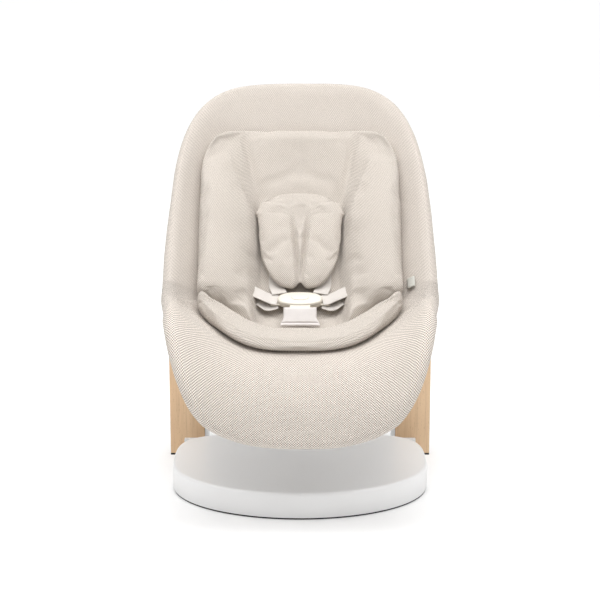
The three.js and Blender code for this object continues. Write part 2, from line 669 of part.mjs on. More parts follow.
// ---------------------------------------------------------------- seat bracket and recline lock
// drawn about the pivot with +Z square to the backrest, towards the shell, and +Y up along the backrest
const UNDERSIDE = PIVOT_TO_BACK - SHELL_WALL - BOSS_DEPTH - FIT_GAP;
const PAWL_START = RING_OUTER_RADIUS + FIT_GAP;
const LEVER_PIN_Y = PAWL_START + PAWL_LENGTH;
const FORK_HALF_DEPTH = 3.5;
const HEAD_START = LEVER_PIN_Y + FORK_HALF_DEPTH + FIT_GAP;
const PAWL_END = HEAD_START + PAWL_HEAD_LENGTH;
const LEVER_PIN_Z = LEVER_PIN_OFFSET;
const HOUSING_Y = [PAWL_START + 8, PAWL_START + 24];
const ARM_GAP = FIT_GAP + 0.2;

// a round body from -halfLength to halfLength about the lever's pin
const aboutLeverPin = (inner, outer, halfLength) =>
  turned(inner, outer, -halfLength, halfLength, SMALL_ROUND_STEPS).translate(0, LEVER_PIN_Y, LEVER_PIN_Z);

function seatBracket() {
  const plateBottom = UNDERSIDE - BRACKET_PLATE_THICKNESS;
  const halfWidth = BRACKET_PLATE_WIDTH / 2;
  const halfLength = BRACKET_PLATE_LENGTH / 2;
  const plate = box(-halfWidth, halfWidth, -halfLength, halfLength, plateBottom, UNDERSIDE);
  const arms = [-1, 1].flatMap((side) => {
    const [x0, x1] = [side * ARM_X - ARM_THICKNESS / 2, side * ARM_X + ARM_THICKNESS / 2];
    return [
      turned(0, ARM_RING_OUTER, x0, x1),
      box(x0, x1, -ARM_WIDTH / 2, ARM_WIDTH / 2, 0, plateBottom + 1),
      box(x0, x1, LEVER_PIN_Y - 22, LEVER_PIN_Y + 8, LEVER_PIN_Z - 8, LEVER_PIN_Z + 8),
      box(x0, x1, 0, LEVER_PIN_Y - 14, LEVER_PIN_Z - 8, plateBottom / 2 + 10),
    ];
  });
  const housing = box(-ARM_X, ARM_X, ...HOUSING_Y, -PAWL_HEIGHT, PAWL_HEIGHT);
  const bore = turned(0, ARM_RING_INNER, -ARM_X - ARM_THICKNESS, ARM_X + ARM_THICKNESS);
  const slotHalfWidth = PAWL_WIDTH / 2 + ARM_GAP;
  const slotHalfHeight = PAWL_HEIGHT / 2 + ARM_GAP;
  const pawlSlot = box(-slotHalfWidth, slotHalfWidth, HOUSING_Y[0] - 1, HOUSING_Y[1] + 1,
    -slotHalfHeight, slotHalfHeight);
  const pinHole = aboutLeverPin(0, LEVER_PIN_RADIUS + RUNNING_CLEARANCE, ARM_X + ARM_THICKNESS);
  return cut(join(plate, ...arms, housing), bore, pawlSlot, pinHole, ...bracketHoles());
}

function bracketCorners() {
  return [-1, 1].map((end) => [end * BRACKET_SCREW_X, end * BRACKET_SCREW_Y]);
}

function bracketHoles() {
  const radius = SCREW_RADIUS + SCREW_CLEARANCE;
  return bracketCorners().map(([x, y]) => {
    const hole = new THREE.CylinderGeometry(radius, radius, 60, SMALL_ROUND_STEPS).rotateX(Math.PI / 2);
    return hole.translate(x, y, UNDERSIDE - 22);
  });
}

function bracketScrew([x, y]) {
  const head = UNDERSIDE - BRACKET_PLATE_THICKNESS - FIT_GAP;
  const tip = UNDERSIDE + FIT_GAP + BOSS_DEPTH * 0.6;
  const points = [[0, head - SCREW_HEAD_HEIGHT], [SCREW_HEAD_RADIUS, head - SCREW_HEAD_HEIGHT],
    [SCREW_HEAD_RADIUS, head], [SCREW_RADIUS, head], [SCREW_RADIUS, tip], [0, tip]];
  const profile = points.map(([radius, z]) => new THREE.Vector2(radius, z));
  return new THREE.LatheGeometry(profile, SMALL_ROUND_STEPS).rotateX(Math.PI / 2).translate(x, y, 0);
}

const leverPin = () => aboutLeverPin(0, LEVER_PIN_RADIUS, ARM_X + ARM_THICKNESS);

function lockPawl() {
  const half = PAWL_WIDTH / 2;
  const bar = box(-half, half, PAWL_START, PAWL_END, -PAWL_HEIGHT / 2, PAWL_HEIGHT / 2);
  const reach = half + FIT_GAP + FORK_THICKNESS;
  const head = box(-reach, reach, HEAD_START, PAWL_END, -PAWL_HEIGHT / 2, PAWL_HEIGHT / 2 - FIT_GAP);
  return join(bar, head);
}

function reclineLever() {
  const half = LEVER_WIDTH / 2;
  const inner = ARM_X - ARM_THICKNESS / 2 - 1;
  const barrel = aboutLeverPin(0, LEVER_BARREL_RADIUS, inner);
  const grip = new THREE.Shape();
  const tipRadius = half * 0.6;
  grip.moveTo(-half, LEVER_PIN_Y);
  grip.lineTo(half, LEVER_PIN_Y);
  grip.lineTo(half, LEVER_PIN_Y + LEVER_LENGTH - tipRadius);
  grip.absarc(half - tipRadius, LEVER_PIN_Y + LEVER_LENGTH - tipRadius, tipRadius, 0, Math.PI / 2);
  grip.lineTo(tipRadius - half, LEVER_PIN_Y + LEVER_LENGTH);
  grip.absarc(tipRadius - half, LEVER_PIN_Y + LEVER_LENGTH - tipRadius, tipRadius, Math.PI / 2, Math.PI);
  const handle = new THREE.ExtrudeGeometry(grip,
    { depth: LEVER_THICKNESS, bevelEnabled: false, curveSegments: 5 })
    .translate(0, 0, LEVER_PIN_Z - LEVER_THICKNESS / 2);
  const fork = [-1, 1].map((side) => {
    const x = side * (PAWL_WIDTH / 2 + 2 * FIT_GAP + FORK_THICKNESS / 2);
    return box(x - FORK_THICKNESS / 2, x + FORK_THICKNESS / 2, LEVER_PIN_Y - FORK_HALF_DEPTH,
      LEVER_PIN_Y + FORK_HALF_DEPTH, -PAWL_HEIGHT / 2, LEVER_PIN_Z);
  });
  const bore = aboutLeverPin(0, LEVER_PIN_RADIUS + RUNNING_CLEARANCE, ARM_X);
  return cut(join(barrel, handle, ...fork), bore);
}

// ---------------------------------------------------------------- seat shell (flat, then bent)
// where webbing passes through the shell and its padding, and the way its flat side faces
const slots = [
  ...[-1, 1].map((side) => ({ x: side * SHOULDER_X, y: SHOULDER_Y, acrossX: true })),
  ...[-1, 1].map((side) => ({ x: side * WAIST_X, y: WAIST_Y, acrossX: false })),
  { x: 0, y: CROTCH_Y, acrossX: true },
];
const shoulderSlots = slots.slice(0, 2);
const waistSlots = slots.slice(2, 4);
const crotchSlot = slots[4];

function slotCutters() {
  return slots.map(({ x, y, acrossX }) => {
    const halfX = (acrossX ? SLOT_LENGTH : SLOT_WIDTH) / 2;
    const halfY = (acrossX ? SLOT_WIDTH : SLOT_LENGTH) / 2;
    return box(x - halfX, x + halfX, y - halfY, y + halfY, -60, 400);
  });
}

// the shell's underside lies this far below its inner face, and further where its sides slope
const wallDrop = (share) => SHELL_WALL * (1 + 0.5 * share ** 4);

function seatShell() {
  const inner = STATIONS.map((share) => planRing(SHELL_PLAN, share, bowl));
  const under = STATIONS.toReversed().map((share) =>
    planRing(SHELL_PLAN, share, (x, y) => bowl(x, y) - wallDrop(share)));
  const tray = ringBody([0, SHELL_CENTRE, 0], [...inner, ...under], [0, SHELL_CENTRE, -SHELL_WALL]);
  const screwHoles = bracketCorners().map(([x, y]) => {
    const radius = SCREW_RADIUS + SCREW_CLEARANCE;
    const hole = new THREE.CylinderGeometry(radius, radius, 2 * BOSS_DEPTH, SMALL_ROUND_STEPS)
      .rotateX(Math.PI / 2);
    return bend(hole.translate(x, PIVOT_ON_BACK + y, -SHELL_WALL - 1.2 * BOSS_DEPTH));
  });
  return cut(join(bend(cutFlat(tray, ...slotCutters())), mountingBoss()), ...screwHoles);
}

// the block under the shell that the seat bracket is screwed to
function mountingBoss() {
  const [halfWidth, halfLength] = [BOSS_WIDTH / 2, BOSS_LENGTH / 2];
  const block = sheetBody(4, 4, (u, v, side) => {
    const x = halfWidth * (2 * u - 1);
    const y = PIVOT_ON_BACK + halfLength * (2 * v - 1);
    return [x, y, side ? bowl(x, y) - SHELL_WALL / 2 : -SHELL_WALL - BOSS_DEPTH];
  });
  return bend(block);
}

// ---------------------------------------------------------------- covers
// the rim's padding: how far past the shell's edge, and how far above it
const RIM_SECTION = [[2, PADDING + 1.5], [9, PADDING - 3.5], [RIM_ROLL, -1], [RIM_ROLL - 2, -12], [5, -21]];

function wholeCover() {
  const lifted = (share, lift, extra = 0) => planRing(SHELL_PLAN, share, (x, y) => bowl(x, y) + lift, extra);
  const covered = STATIONS.filter((share) => share < 1);
  const rings = [
    ...covered.map((share) => lifted(share, COVER_LIFT)),
    ...RIM_SECTION.map(([extra, lift]) => lifted(1, lift, extra)),
    ...WRAP_STATIONS.map((share) => lifted(share, -wallDrop(share) - PADDING * share)),
    ...WRAP_STATIONS.toReversed().map((share) => lifted(share, -wallDrop(share) - COVER_GAP)),
    lifted(1, -wallDrop(1) - COVER_GAP, RIM_GAP),
    lifted(1, COVER_GAP + 2 * RIM_GAP, RIM_GAP),
    ...covered.toReversed().map((share) => lifted(share, COVER_GAP)),
  ];
  const cover = ringBody([0, SHELL_CENTRE, COVER_LIFT], rings, [0, SHELL_CENTRE, COVER_GAP]);
  return cutFlat(cover, ...slotCutters());
}

// the seam's place along the seat, moved outwards by shift
const seamAt = (x, shift) => SEAM_EDGE + shift
  + SEAM_RISE * Math.max(0, 1 - (Math.abs(x) / (SHELL_HALF_WIDTH + 2 * shift)) ** SEAM_POWER) ** 0.8;

// everything on the foot side of the seam
function footSide(shift) {
  const reach = SHELL_HALF_WIDTH + 3 * RIM_ROLL;
  const steps = 36;
  const shape = new THREE.Shape();
  shape.moveTo(-reach, -2 * SHELL_HALF_WIDTH);
  shape.lineTo(reach, -2 * SHELL_HALF_WIDTH);
  for (let step = 0; step <= steps; step++) {
    const x = reach * (1 - 2 * step / steps);
    shape.lineTo(x, seamAt(x, shift));
  }
  return new THREE.ExtrudeGeometry(shape, { depth: 600, bevelEnabled: false }).translate(0, 0, -150);
}

const seatCover = () => bend(cutFlat(wholeCover(), footSide(SEAM_GAP / 2)));
const legCover = () => bend(keepFlat(wholeCover(), footSide(-SEAM_GAP / 2)));

// ---------------------------------------------------------------- newborn insert
const INSERT_PLAN = {
  centre: (INSERT_HEAD + INSERT_FOOT) / 2,
  toHead: (INSERT_HEAD - INSERT_FOOT) / 2,
  toFoot: (INSERT_HEAD - INSERT_FOOT) / 2,
  halfWidth: INSERT_HALF_WIDTH,
  headPower: 5,
  footPower: 4.2,
};
const INSERT_STATIONS = [0.13, 0.26, 0.38, 0.5, 0.62, 0.74, 0.86, 0.95];

const insertUnderside = (x, y) => bowl(x, y) + COVER_LIFT + SOFT_GAP;
const insertTop = (x, y) => insertUnderside(x, y) + insertThickness(x, y);

function insertThickness(x, y) {
  const bolster = BOLSTER_THICKNESS * THREE.MathUtils.smoothstep(Math.abs(x), BOLSTER_INNER, BOLSTER_OUTER);
  const headTaper = 1 - THREE.MathUtils.smoothstep(y, INSERT_HEAD - 190, INSERT_HEAD - 20);
  const back = INSERT_BASE_THICKNESS + bolster * headTaper;
  const roll = ROLL_THICKNESS + ROLL_SIDE_EXTRA * (x / INSERT_HALF_WIDTH) ** 2;
  const rollShare = 1 - THREE.MathUtils.smoothstep(y, INSERT_SPLIT - 70, INSERT_SPLIT + 10);
  return back + (Math.max(roll, back) - back) * rollShare;
}

function wholeInsert() {
  const edge = (share, part) =>
    planRing(INSERT_PLAN, share, (x, y) => insertUnderside(x, y) + insertThickness(x, y) * part);
  const rings = [
    ...INSERT_STATIONS.map((share) => edge(share, share > 0.9 ? 0.9 : 1)),
    edge(1, 0.5),
    ...INSERT_STATIONS.toReversed().map((share) => edge(share, 0)),
  ];
  const middle = [0, INSERT_PLAN.centre];
  return ringBody([...middle, insertTop(...middle)], rings, [...middle, insertUnderside(...middle)]);
}

const insertFoot = (end) => box(-2 * INSERT_HALF_WIDTH, 2 * INSERT_HALF_WIDTH, 0, end, -200, 500);
const insertBack = () =>
  bend(cutFlat(wholeInsert(), insertFoot(INSERT_SPLIT + SOFT_GAP / 2), ...slotCutters()));
const insertRoll = () =>
  bend(keepFlat(wholeInsert(), insertFoot(INSERT_SPLIT - SOFT_GAP / 2)));

function fabricTag() {
  const [inner, outer] = [INSERT_HALF_WIDTH + 2, INSERT_HALF_WIDTH + 18];
  return bend(sheetBody(3, 2, (u, v, side) => {
    const x = inner + (outer - inner) * u;
    const y = TAG_Y + TAG_WIDTH * (v - 0.5);
    return [x, y, bowl(x, y) + COVER_LIFT + TAG_THICKNESS * (side + 0.8)];
  }));
}

// ---------------------------------------------------------------- harness
const PAD_PLAN = {
  centre: (PAD_TOP + PAD_BOTTOM) / 2,
  toHead: (PAD_TOP - PAD_BOTTOM) / 2,
  toFoot: (PAD_TOP - PAD_BOTTOM) / 2,
  halfWidth: PAD_HALF_WIDTH,
  headPower: 3,
  footPower: 3,
};

function harnessPad() {
  const under = (x, y) => insertTop(x, y) + PAD_LIFT;
  const ring = (share, part) =>
    planRing(PAD_PLAN, share, (x, y) => under(x, y) + PAD_THICKNESS * part * padFullness(x));
  const shares = [0.3, 0.6, 0.85];
  const rings = [...shares.map((share) => ring(share, 1)), ring(1, 0.5),
    ...shares.toReversed().map((share) => ring(share, 0))];
  const middle = [0, PAD_PLAN.centre];
  return bend(ringBody([...middle, under(...middle) + PAD_THICKNESS * padFullness(0)], rings,
    [...middle, under(...middle)]));
}

// the pad is two lobes with a hollow between them
const padFullness = (x) =>
  PAD_HOLLOW + (1 - PAD_HOLLOW) * THREE.MathUtils.smoothstep(Math.abs(x), 0, PAD_HALF_WIDTH / 3);

// webbing through points in the object's frame; across is the direction of its width
function webbing(points, across, rows) {
  const knots = points.map((point) => new THREE.Vector3(...point));
  const path = new THREE.CatmullRomCurve3(knots, false, 'catmullrom', WEB_CURVE_TENSION);
  const width = new THREE.Vector3(...across);
  return sheetBody(1, rows, (u, v, side) => {
    const normal = new THREE.Vector3().crossVectors(path.getTangentAt(v), width).normalize();
    return path.getPointAt(v)
      .addScaledVector(width, WEB_WIDTH * (u - 0.5))
      .addScaledVector(normal, WEB_THICKNESS * (0.5 - side))
      .toArray();
  });
}

// a point given in the buckle's own axes
function onBuckle(x, y, z) {
  const [, middleY, middleZ] = bentPoint(0, BUCKLE_Y, BUCKLE_LIFT);
  const [c, s] = [Math.cos(BUCKLE_HEADING), Math.sin(BUCKLE_HEADING)];
  return [x, middleY + y * c - z * s, middleZ + y * s + z * c];
}

// the lowest point of the shell's underside over an anchor bar, less a gap
function anchorTop({ x, y }) {
  const inward = Math.abs(x) - (x ? ANCHOR_WIDTH / 2 : 0);
  return bowl(inward, y - ANCHOR_WIDTH / 2) - wallDrop(0.5) - ANCHOR_GAP;
}

const WEB_LIFT = SOFT_GAP + WEB_THICKNESS / 2;
const WEB_CURVE_TENSION = 0.3;
const WEB_END_GAP = 1.5;          // from the webbing's end to the part that it would be sewn round
const SHOULDER_END_GAP = 5;
const SHOULDER_SPREAD = 4;        // the two straps part this much over their first length
const SHOULDER_RUN = 70;
const PAD_OVERLAP = 20;
const CROTCH_PAD_TAPER = 0.12;
const PAD_HOLLOW = 0.6;           // fullness between the harness pad's lobes


// a point over the insert at (x, y) of the seat's plan
const overInsert = (x, y, lift) => bentPoint(x, y, insertTop(x, y) + lift);
const atAnchor = (slot) => bentPoint(slot.x, slot.y, anchorTop(slot) + ANCHOR_GAP);

function shoulderStrap(slot) {
  const side = Math.sign(slot.x);
  return webbing([
    atAnchor(slot),
    overInsert(slot.x, slot.y, -3),
    overInsert(slot.x, slot.y - 6, WEB_LIFT),
    overInsert(slot.x + side * SHOULDER_SPREAD, slot.y - SHOULDER_RUN, WEB_LIFT),
    overInsert(slot.x + side * 2 * SHOULDER_SPREAD, PAD_BOTTOM + PAD_OVERLAP, WEB_LIFT),
    onBuckle(side * BUCKLE_WIDTH / 2, TONGUE_WIDTH / 2 + SHOULDER_END_GAP,
      TONGUE_LOW + TONGUE_THICKNESS + 2 * WEB_THICKNESS),
  ], [1, 0, 0], 18);
}

function waistStrap(slot) {
  const side = Math.sign(slot.x);
  const { heading } = walkProfile(slot.y);
  return webbing([
    atAnchor(slot),
    overInsert(slot.x, slot.y, -2),
    overInsert(slot.x - side * 5, slot.y - 1, 7),
    overInsert(slot.x - side * 22, slot.y - 6, 9),
    onBuckle(side * (TONGUE_END + WEB_END_GAP), 0, TONGUE_LOW + TONGUE_THICKNESS / 2),
  ], [0, Math.cos(heading), Math.sin(heading)], 14);
}

function crotchStrap() {
  return webbing([
    atAnchor(crotchSlot),
    overInsert(0, CROTCH_Y, 0),
    overInsert(0, CROTCH_Y + 3, 7),
    onBuckle(0, -NECK_REACH - WEB_END_GAP, 0),
  ], [1, 0, 0], 10);
}

// a sleeve that stands in front of the crotch strap
function crotchPad() {
  const low = overInsert(0, CROTCH_Y - SLOT_WIDTH / 2 - 3, 2);
  const high = onBuckle(0, -NECK_REACH - 2, BUCKLE_THICKNESS / 2);
  return sheetBody(4, 3, (u, v, side) => {
    const halfWidth = CROTCH_PAD_WIDTH / 2 * (1 - CROTCH_PAD_TAPER * v);
    return [halfWidth * (2 * u - 1), low[1] + (high[1] - low[1]) * v - CROTCH_PAD_THICKNESS * side,
      low[2] + (high[2] - low[2]) * v + CROTCH_PAD_THICKNESS * side / 2];
  });
}

// a bar behind one slot, or behind a row of slots, that the webbing is looped on
function anchor(...row) {
  const [first, last] = [row[0], row.at(-1)];
  const halfX = (first.acrossX ? ANCHOR_LENGTH : ANCHOR_WIDTH) / 2;
  const halfY = (first.acrossX ? ANCHOR_WIDTH : ANCHOR_LENGTH) / 2;
  const top = anchorTop(first);
  const bar = box(first.x - halfX, last.x + halfX, first.y - halfY, last.y + halfY,
    top - ANCHOR_THICKNESS, top);
  return bend(bar);
}

// ---------------------------------------------------------------- buckle, drawn about its own middle
const TONGUE_INSERTION = 12;
const TONGUE_START = BUCKLE_WIDTH / 2 - TONGUE_INSERTION;
const TONGUE_END = BUCKLE_WIDTH / 2 + TONGUE_INSERTION;
const TONGUE_WIDTH = 18;
const TONGUE_THICKNESS = 2.5;
const TONGUE_LOW = -BUCKLE_THICKNESS / 2 + 2.4;
const LOOP_MARGIN = 3;
const LOOP_OPENING = 4;
const LOOP_SIDE = 2.5;
const NECK_LENGTH = 8;
const NECK_WIDTH = 34;
const NECK_ROOT = 4;
const NECK_THICKNESS_SHARE = 0.6;
const OVAL_POWER = 2.4;
const BUCKLE_BEVEL = 3;
const NECK_REACH = BUCKLE_LENGTH / 2 + NECK_LENGTH;
const BUCKLE_HEADING = walkProfile(BUCKLE_Y).heading - radians(BUCKLE_TILT);

function oval(width, length, power) {
  const steps = 2 * SMALL_ROUND_STEPS;
  return new THREE.Shape(Array.from({ length: steps }, (_, step) => {
    const angle = 2 * Math.PI * step / steps;
    const radius = ((Math.abs(Math.cos(angle)) * 2 / width) ** power
      + (Math.abs(Math.sin(angle)) * 2 / length) ** power) ** (-1 / power);
    return new THREE.Vector2(radius * Math.cos(angle), radius * Math.sin(angle));
  }));
}

function slab(shape, bottom, top, bevel) {
  const options = { depth: top - bottom - 2 * bevel, bevelEnabled: bevel > 0, bevelSize: bevel,
    bevelThickness: bevel, bevelOffset: -bevel, bevelSegments: 2 };
  return new THREE.ExtrudeGeometry(shape, options).translate(0, 0, bottom + bevel);
}

function buckleBody() {
  const half = BUCKLE_THICKNESS / 2;
  const casing = slab(oval(BUCKLE_WIDTH, BUCKLE_LENGTH, OVAL_POWER), -half, half, BUCKLE_BEVEL);
  const neckHalf = half * NECK_THICKNESS_SHARE;
  const neck = box(-NECK_WIDTH / 2, NECK_WIDTH / 2, -NECK_REACH, -BUCKLE_LENGTH / 2 + NECK_ROOT,
    -neckHalf, neckHalf);
  const well = slab(oval(BUTTON_WIDTH + 2 * FIT_GAP, BUTTON_LENGTH + 2 * FIT_GAP, OVAL_POWER),
    half - BUTTON_DEPTH - BUTTON_TRAVEL - FIT_GAP, half + 5, 0);
  const mouthHalf = TONGUE_WIDTH / 2 + FIT_GAP;
  const mouths = [-1, 1].map((side) => {
    const ends = [side * (TONGUE_START - 1), side * TONGUE_END].sort((a, b) => a - b);
    return box(...ends, -mouthHalf, mouthHalf, TONGUE_LOW - FIT_GAP, TONGUE_LOW + TONGUE_THICKNESS + FIT_GAP);
  });
  return cut(join(casing, neck), well, ...mouths);
}

const buckleButton = () => slab(oval(BUTTON_WIDTH, BUTTON_LENGTH, OVAL_POWER),
  BUCKLE_THICKNESS / 2 - BUTTON_DEPTH, BUCKLE_THICKNESS / 2 + BUTTON_STAND, 1);

function tongue() {
  const plate = box(TONGUE_START, TONGUE_END, -TONGUE_WIDTH / 2, TONGUE_WIDTH / 2,
    TONGUE_LOW, TONGUE_LOW + TONGUE_THICKNESS);
  const loopEnd = TONGUE_END - LOOP_MARGIN;
  const loopHalf = TONGUE_WIDTH / 2 - LOOP_SIDE;
  const loop = box(loopEnd - LOOP_OPENING, loopEnd, -loopHalf, loopHalf, -BUCKLE_WIDTH, BUCKLE_WIDTH);
  return cut(plate, loop);
}

// ---------------------------------------------------------------- assembly
function mirrored(geometry) {
  const copy = geometry.clone().scale(-1, 1, 1);
  const { array } = copy.index ?? new THREE.BufferAttribute(
    Uint32Array.from({ length: copy.attributes.position.count }, (_, i) => i), 1);
  for (let i = 0; i < array.length; i += 3) {
    [array[i], array[i + 1]] = [array[i + 1], array[i]];
  }
  return copy.setIndex(new THREE.BufferAttribute(Uint32Array.from(array), 1));
}

function add(group, name, geometry, material) {
  const mesh = new THREE.Mesh(geometry, material);
  mesh.name = name;
  group.add(mesh);
  return mesh;
}

// the same piece on both sides; right is +X, which is the right-hand side seen from the foot end
function addPair(group, name, geometry, material) {
  add(group, `right_${name}`, geometry, material);
  add(group, `left_${name}`, mirrored(geometry), material);
}

const bouncer = new THREE.Group();

const stand = new THREE.Group();
bouncer.add(stand);
add(stand, 'rubber_sole', basePlate(SOLE_INSET, 0, SOLE_THICKNESS), DARK_RUBBER);
add(stand, 'base_cover', baseCover(), WHITE_PLASTIC);
add(stand, 'base_plate', basePlate(BASE_WALL + FIT_GAP, PLATE_BOTTOM, PLATE_TOP), WHITE_PLASTIC);
add(stand, 'ballast', ballast(), STEEL);
add(stand, 'rear_crossbar', crossbar(), WHITE_METAL);
const baseBoltHeadY = BASE_BACK + 2 * FIT_GAP + CROSSBAR_DEPTH;
const baseBolt = screwAlongY(BASE_BOLT_X, baseBoltHeadY, BASE_BOLT_TIP_Y, BASE_BOLT_Z);
addPair(stand, 'base_bolt', baseBolt, STEEL);
const boardOuterX = BOARD_INNER_X + BOARD_WIDTH;
const footPad = box(BOARD_INNER_X, boardOuterX, BOARD_FRONT_Y, BOARD_BACK_Y, 0, FOOT_PAD_THICKNESS);
addPair(stand, 'foot_pad', footPad, DARK_RUBBER);
addPair(stand, 'board', board(), BEECH);
addPair(stand, 'rail', rail(), WHITE_METAL);
boardScrewHeights.forEach((z, number) => {
  const screw = screwAlongY(LEG_MIDDLE_X, LEG_BACK_Y + FIT_GAP, BOARD_SCREW_TIP_Y, z);
  addPair(stand, `board_screw_${number + 1}`, screw, STEEL);
});
const footBolt = screwAlongY(LEG_MIDDLE_X, LEG_BACK_Y + FIT_GAP, BASE_BACK + 2 * FIT_GAP, FOOT_BOLT_Z);
addPair(stand, 'foot_bolt', footBolt, STEEL);
addPair(stand, 'flange', flange(), WHITE_METAL);
flangeScrewHeights().forEach((z, number) => {
  addPair(stand, `flange_screw_${number + 1}`, flangeScrew(z), STEEL);
});

const pivot = new THREE.Group();
pivot.position.set(0, PIVOT_Y, PIVOT_Z);
bouncer.add(pivot);
add(pivot, 'pivot_tube', pivotTube(), WHITE_METAL);
addPair(pivot, 'spring_cup', springCup(), WHITE_PLASTIC);
addPair(pivot, 'bounce_spring', torsionSpring(), STEEL);
add(pivot, 'bush', bush(), BUSH_PLASTIC);
add(pivot, 'hub_core', hubCore(), WHITE_METAL);
add(pivot, 'recline_ring', reclineRing(), STEEL);

const bracket = new THREE.Group();
bracket.rotation.x = radians(BACK_ANGLE);
pivot.add(bracket);
add(bracket, 'seat_bracket', seatBracket(), WHITE_METAL);
bracketCorners().forEach((corner, number) => {
  add(bracket, `bracket_screw_${number + 1}`, bracketScrew(corner), STEEL);
});
add(bracket, 'lock_pawl', lockPawl(), STEEL);
add(bracket, 'lever_pin', leverPin(), STEEL);
add(bracket, 'recline_lever', reclineLever(), WHITE_PLASTIC);

const seat = new THREE.Group();
bouncer.add(seat);
add(seat, 'seat_shell', seatShell(), WHITE_PLASTIC);
add(seat, 'seat_cover', seatCover(), FINE_KNIT);
add(seat, 'leg_cover', legCover(), COARSE_KNIT);
add(seat, 'insert_back', insertBack(), INSERT_KNIT);
add(seat, 'insert_roll', insertRoll(), INSERT_KNIT);
add(seat, 'fabric_tag', fabricTag(), TAG_FABRIC);
add(seat, 'harness_pad', harnessPad(), INSERT_KNIT);
addPair(seat, 'shoulder_strap', shoulderStrap(shoulderSlots[1]), WEBBING);
addPair(seat, 'waist_strap', waistStrap(waistSlots[1]), WEBBING);
add(seat, 'crotch_strap', crotchStrap(), WEBBING);
add(seat, 'crotch_pad', crotchPad(), CROTCH_FABRIC);
add(seat, 'shoulder_anchor', anchor(...shoulderSlots), STEEL);
addPair(seat, 'waist_anchor', anchor(waistSlots[1]), STEEL);
add(seat, 'crotch_anchor', anchor(crotchSlot), STEEL);

const buckle = new THREE.Group();
buckle.position.set(...bentPoint(0, BUCKLE_Y, BUCKLE_LIFT));
buckle.rotation.x = BUCKLE_HEADING;
bouncer.add(buckle);
add(buckle, 'buckle_body', buckleBody(), CREAM_PLASTIC);
add(buckle, 'buckle_button', buckleButton(), CREAM_PLASTIC);
addPair(buckle, 'tongue', tongue(), CREAM_PLASTIC);

export default bouncer;
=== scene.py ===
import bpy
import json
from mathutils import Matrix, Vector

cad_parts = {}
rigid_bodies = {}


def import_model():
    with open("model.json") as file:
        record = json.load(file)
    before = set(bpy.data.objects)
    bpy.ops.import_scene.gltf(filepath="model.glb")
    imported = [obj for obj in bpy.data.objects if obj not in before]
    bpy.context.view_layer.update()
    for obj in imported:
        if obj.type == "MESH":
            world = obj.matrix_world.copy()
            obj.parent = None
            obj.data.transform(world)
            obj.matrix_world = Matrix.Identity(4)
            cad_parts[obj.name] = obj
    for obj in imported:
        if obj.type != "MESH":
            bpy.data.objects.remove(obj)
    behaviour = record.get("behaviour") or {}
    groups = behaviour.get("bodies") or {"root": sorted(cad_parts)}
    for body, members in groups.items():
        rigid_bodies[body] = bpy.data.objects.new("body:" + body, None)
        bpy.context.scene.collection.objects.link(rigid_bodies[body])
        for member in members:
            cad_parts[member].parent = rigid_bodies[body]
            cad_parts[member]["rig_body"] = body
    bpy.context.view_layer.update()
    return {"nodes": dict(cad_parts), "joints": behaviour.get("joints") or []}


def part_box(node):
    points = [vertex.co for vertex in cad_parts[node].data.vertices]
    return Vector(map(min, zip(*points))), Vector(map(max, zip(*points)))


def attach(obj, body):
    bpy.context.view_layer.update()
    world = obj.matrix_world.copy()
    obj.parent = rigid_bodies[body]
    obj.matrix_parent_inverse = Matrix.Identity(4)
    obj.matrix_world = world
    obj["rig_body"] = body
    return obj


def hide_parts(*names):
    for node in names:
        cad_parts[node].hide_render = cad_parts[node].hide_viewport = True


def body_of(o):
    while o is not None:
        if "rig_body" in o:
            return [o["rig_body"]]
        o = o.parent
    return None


bl_info = {
    "name": "Bouncer seat",
    "version": (1, 0, 0),
    "blender": (4, 5, 0),
    "location": "3D View > Sidebar > Bouncer seat",
    "description": "Baby bouncer seat with knitted covers, wooden uprights and a white base",
    "category": "Object",
}

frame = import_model()

import json
import math

import bmesh
import bpy
import numpy as np
from mathutils import Vector, noise
from bpy.props import FloatProperty, FloatVectorProperty, IntProperty, PointerProperty
from bpy.types import Operator, Panel, PropertyGroup

UV_NAME = "Yarn"

# ------------------------------------------------------------------ sizes that follow the frame, in metres
PIVOT = next(joint for joint in frame["joints"] if joint["name"] == "recline")["pos_m"]
WEB_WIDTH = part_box("crotch_strap")[1].x * 2
BASE_LOW, BASE_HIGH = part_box("base_cover")
PAD_HALF_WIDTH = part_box("harness_pad")[1].x
INSERT_HALF_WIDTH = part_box("insert_back")[1].x

# side profile of the seat: headings in degrees above the horizontal, from the foot end to the head
NOSE_HEADING = math.radians(82)
BACK_HEADING = math.radians(47)
PROFILE = (
    ("line", 0.020, None),
    ("arc", 0.090, math.radians(-7)),
    ("line", 0.040, None),
    ("arc", 0.140, BACK_HEADING),
    ("line", 0.415, None),
)
PIVOT_TO_BACK = 0.102
PIVOT_ALONG_BACK = 0.1467

# plan of the shell, drawn flat as x across and y along the profile
SHELL_HALF_WIDTH = 0.209
SHELL_CENTRE = 0.290
FOOT_OVERHANG = 0.004
FOOT_POWER = 2.8
HEAD_POWER = 3.9
SIDE_RISE = 0.080
HEAD_RISE = 0.055
FOOT_RISE = -0.005
BOWL_POWER = 2.6
SHELL_WALL = 0.005

COVER_LIFT = 0.013
SOFT_GAP = 0.0025
SEAM_EDGE = 0.134
SEAM_RISE = 0.190
SEAM_POWER = 8

# the harness slots' places in the plan, and whether each lies across the seat
SHOULDER_SLOT = (0.034, 0.528)
WAIST_SLOT = (0.092, 0.347)
CROTCH_SLOT = (0.0, 0.268)
SLOTS = ((*SHOULDER_SLOT, True), (-SHOULDER_SLOT[0], SHOULDER_SLOT[1], True),
         (*WAIST_SLOT, False), (-WAIST_SLOT[0], WAIST_SLOT[1], False), (*CROTCH_SLOT, True))
SLOT_LENGTH = 0.030
SLOT_WIDTH = 0.011

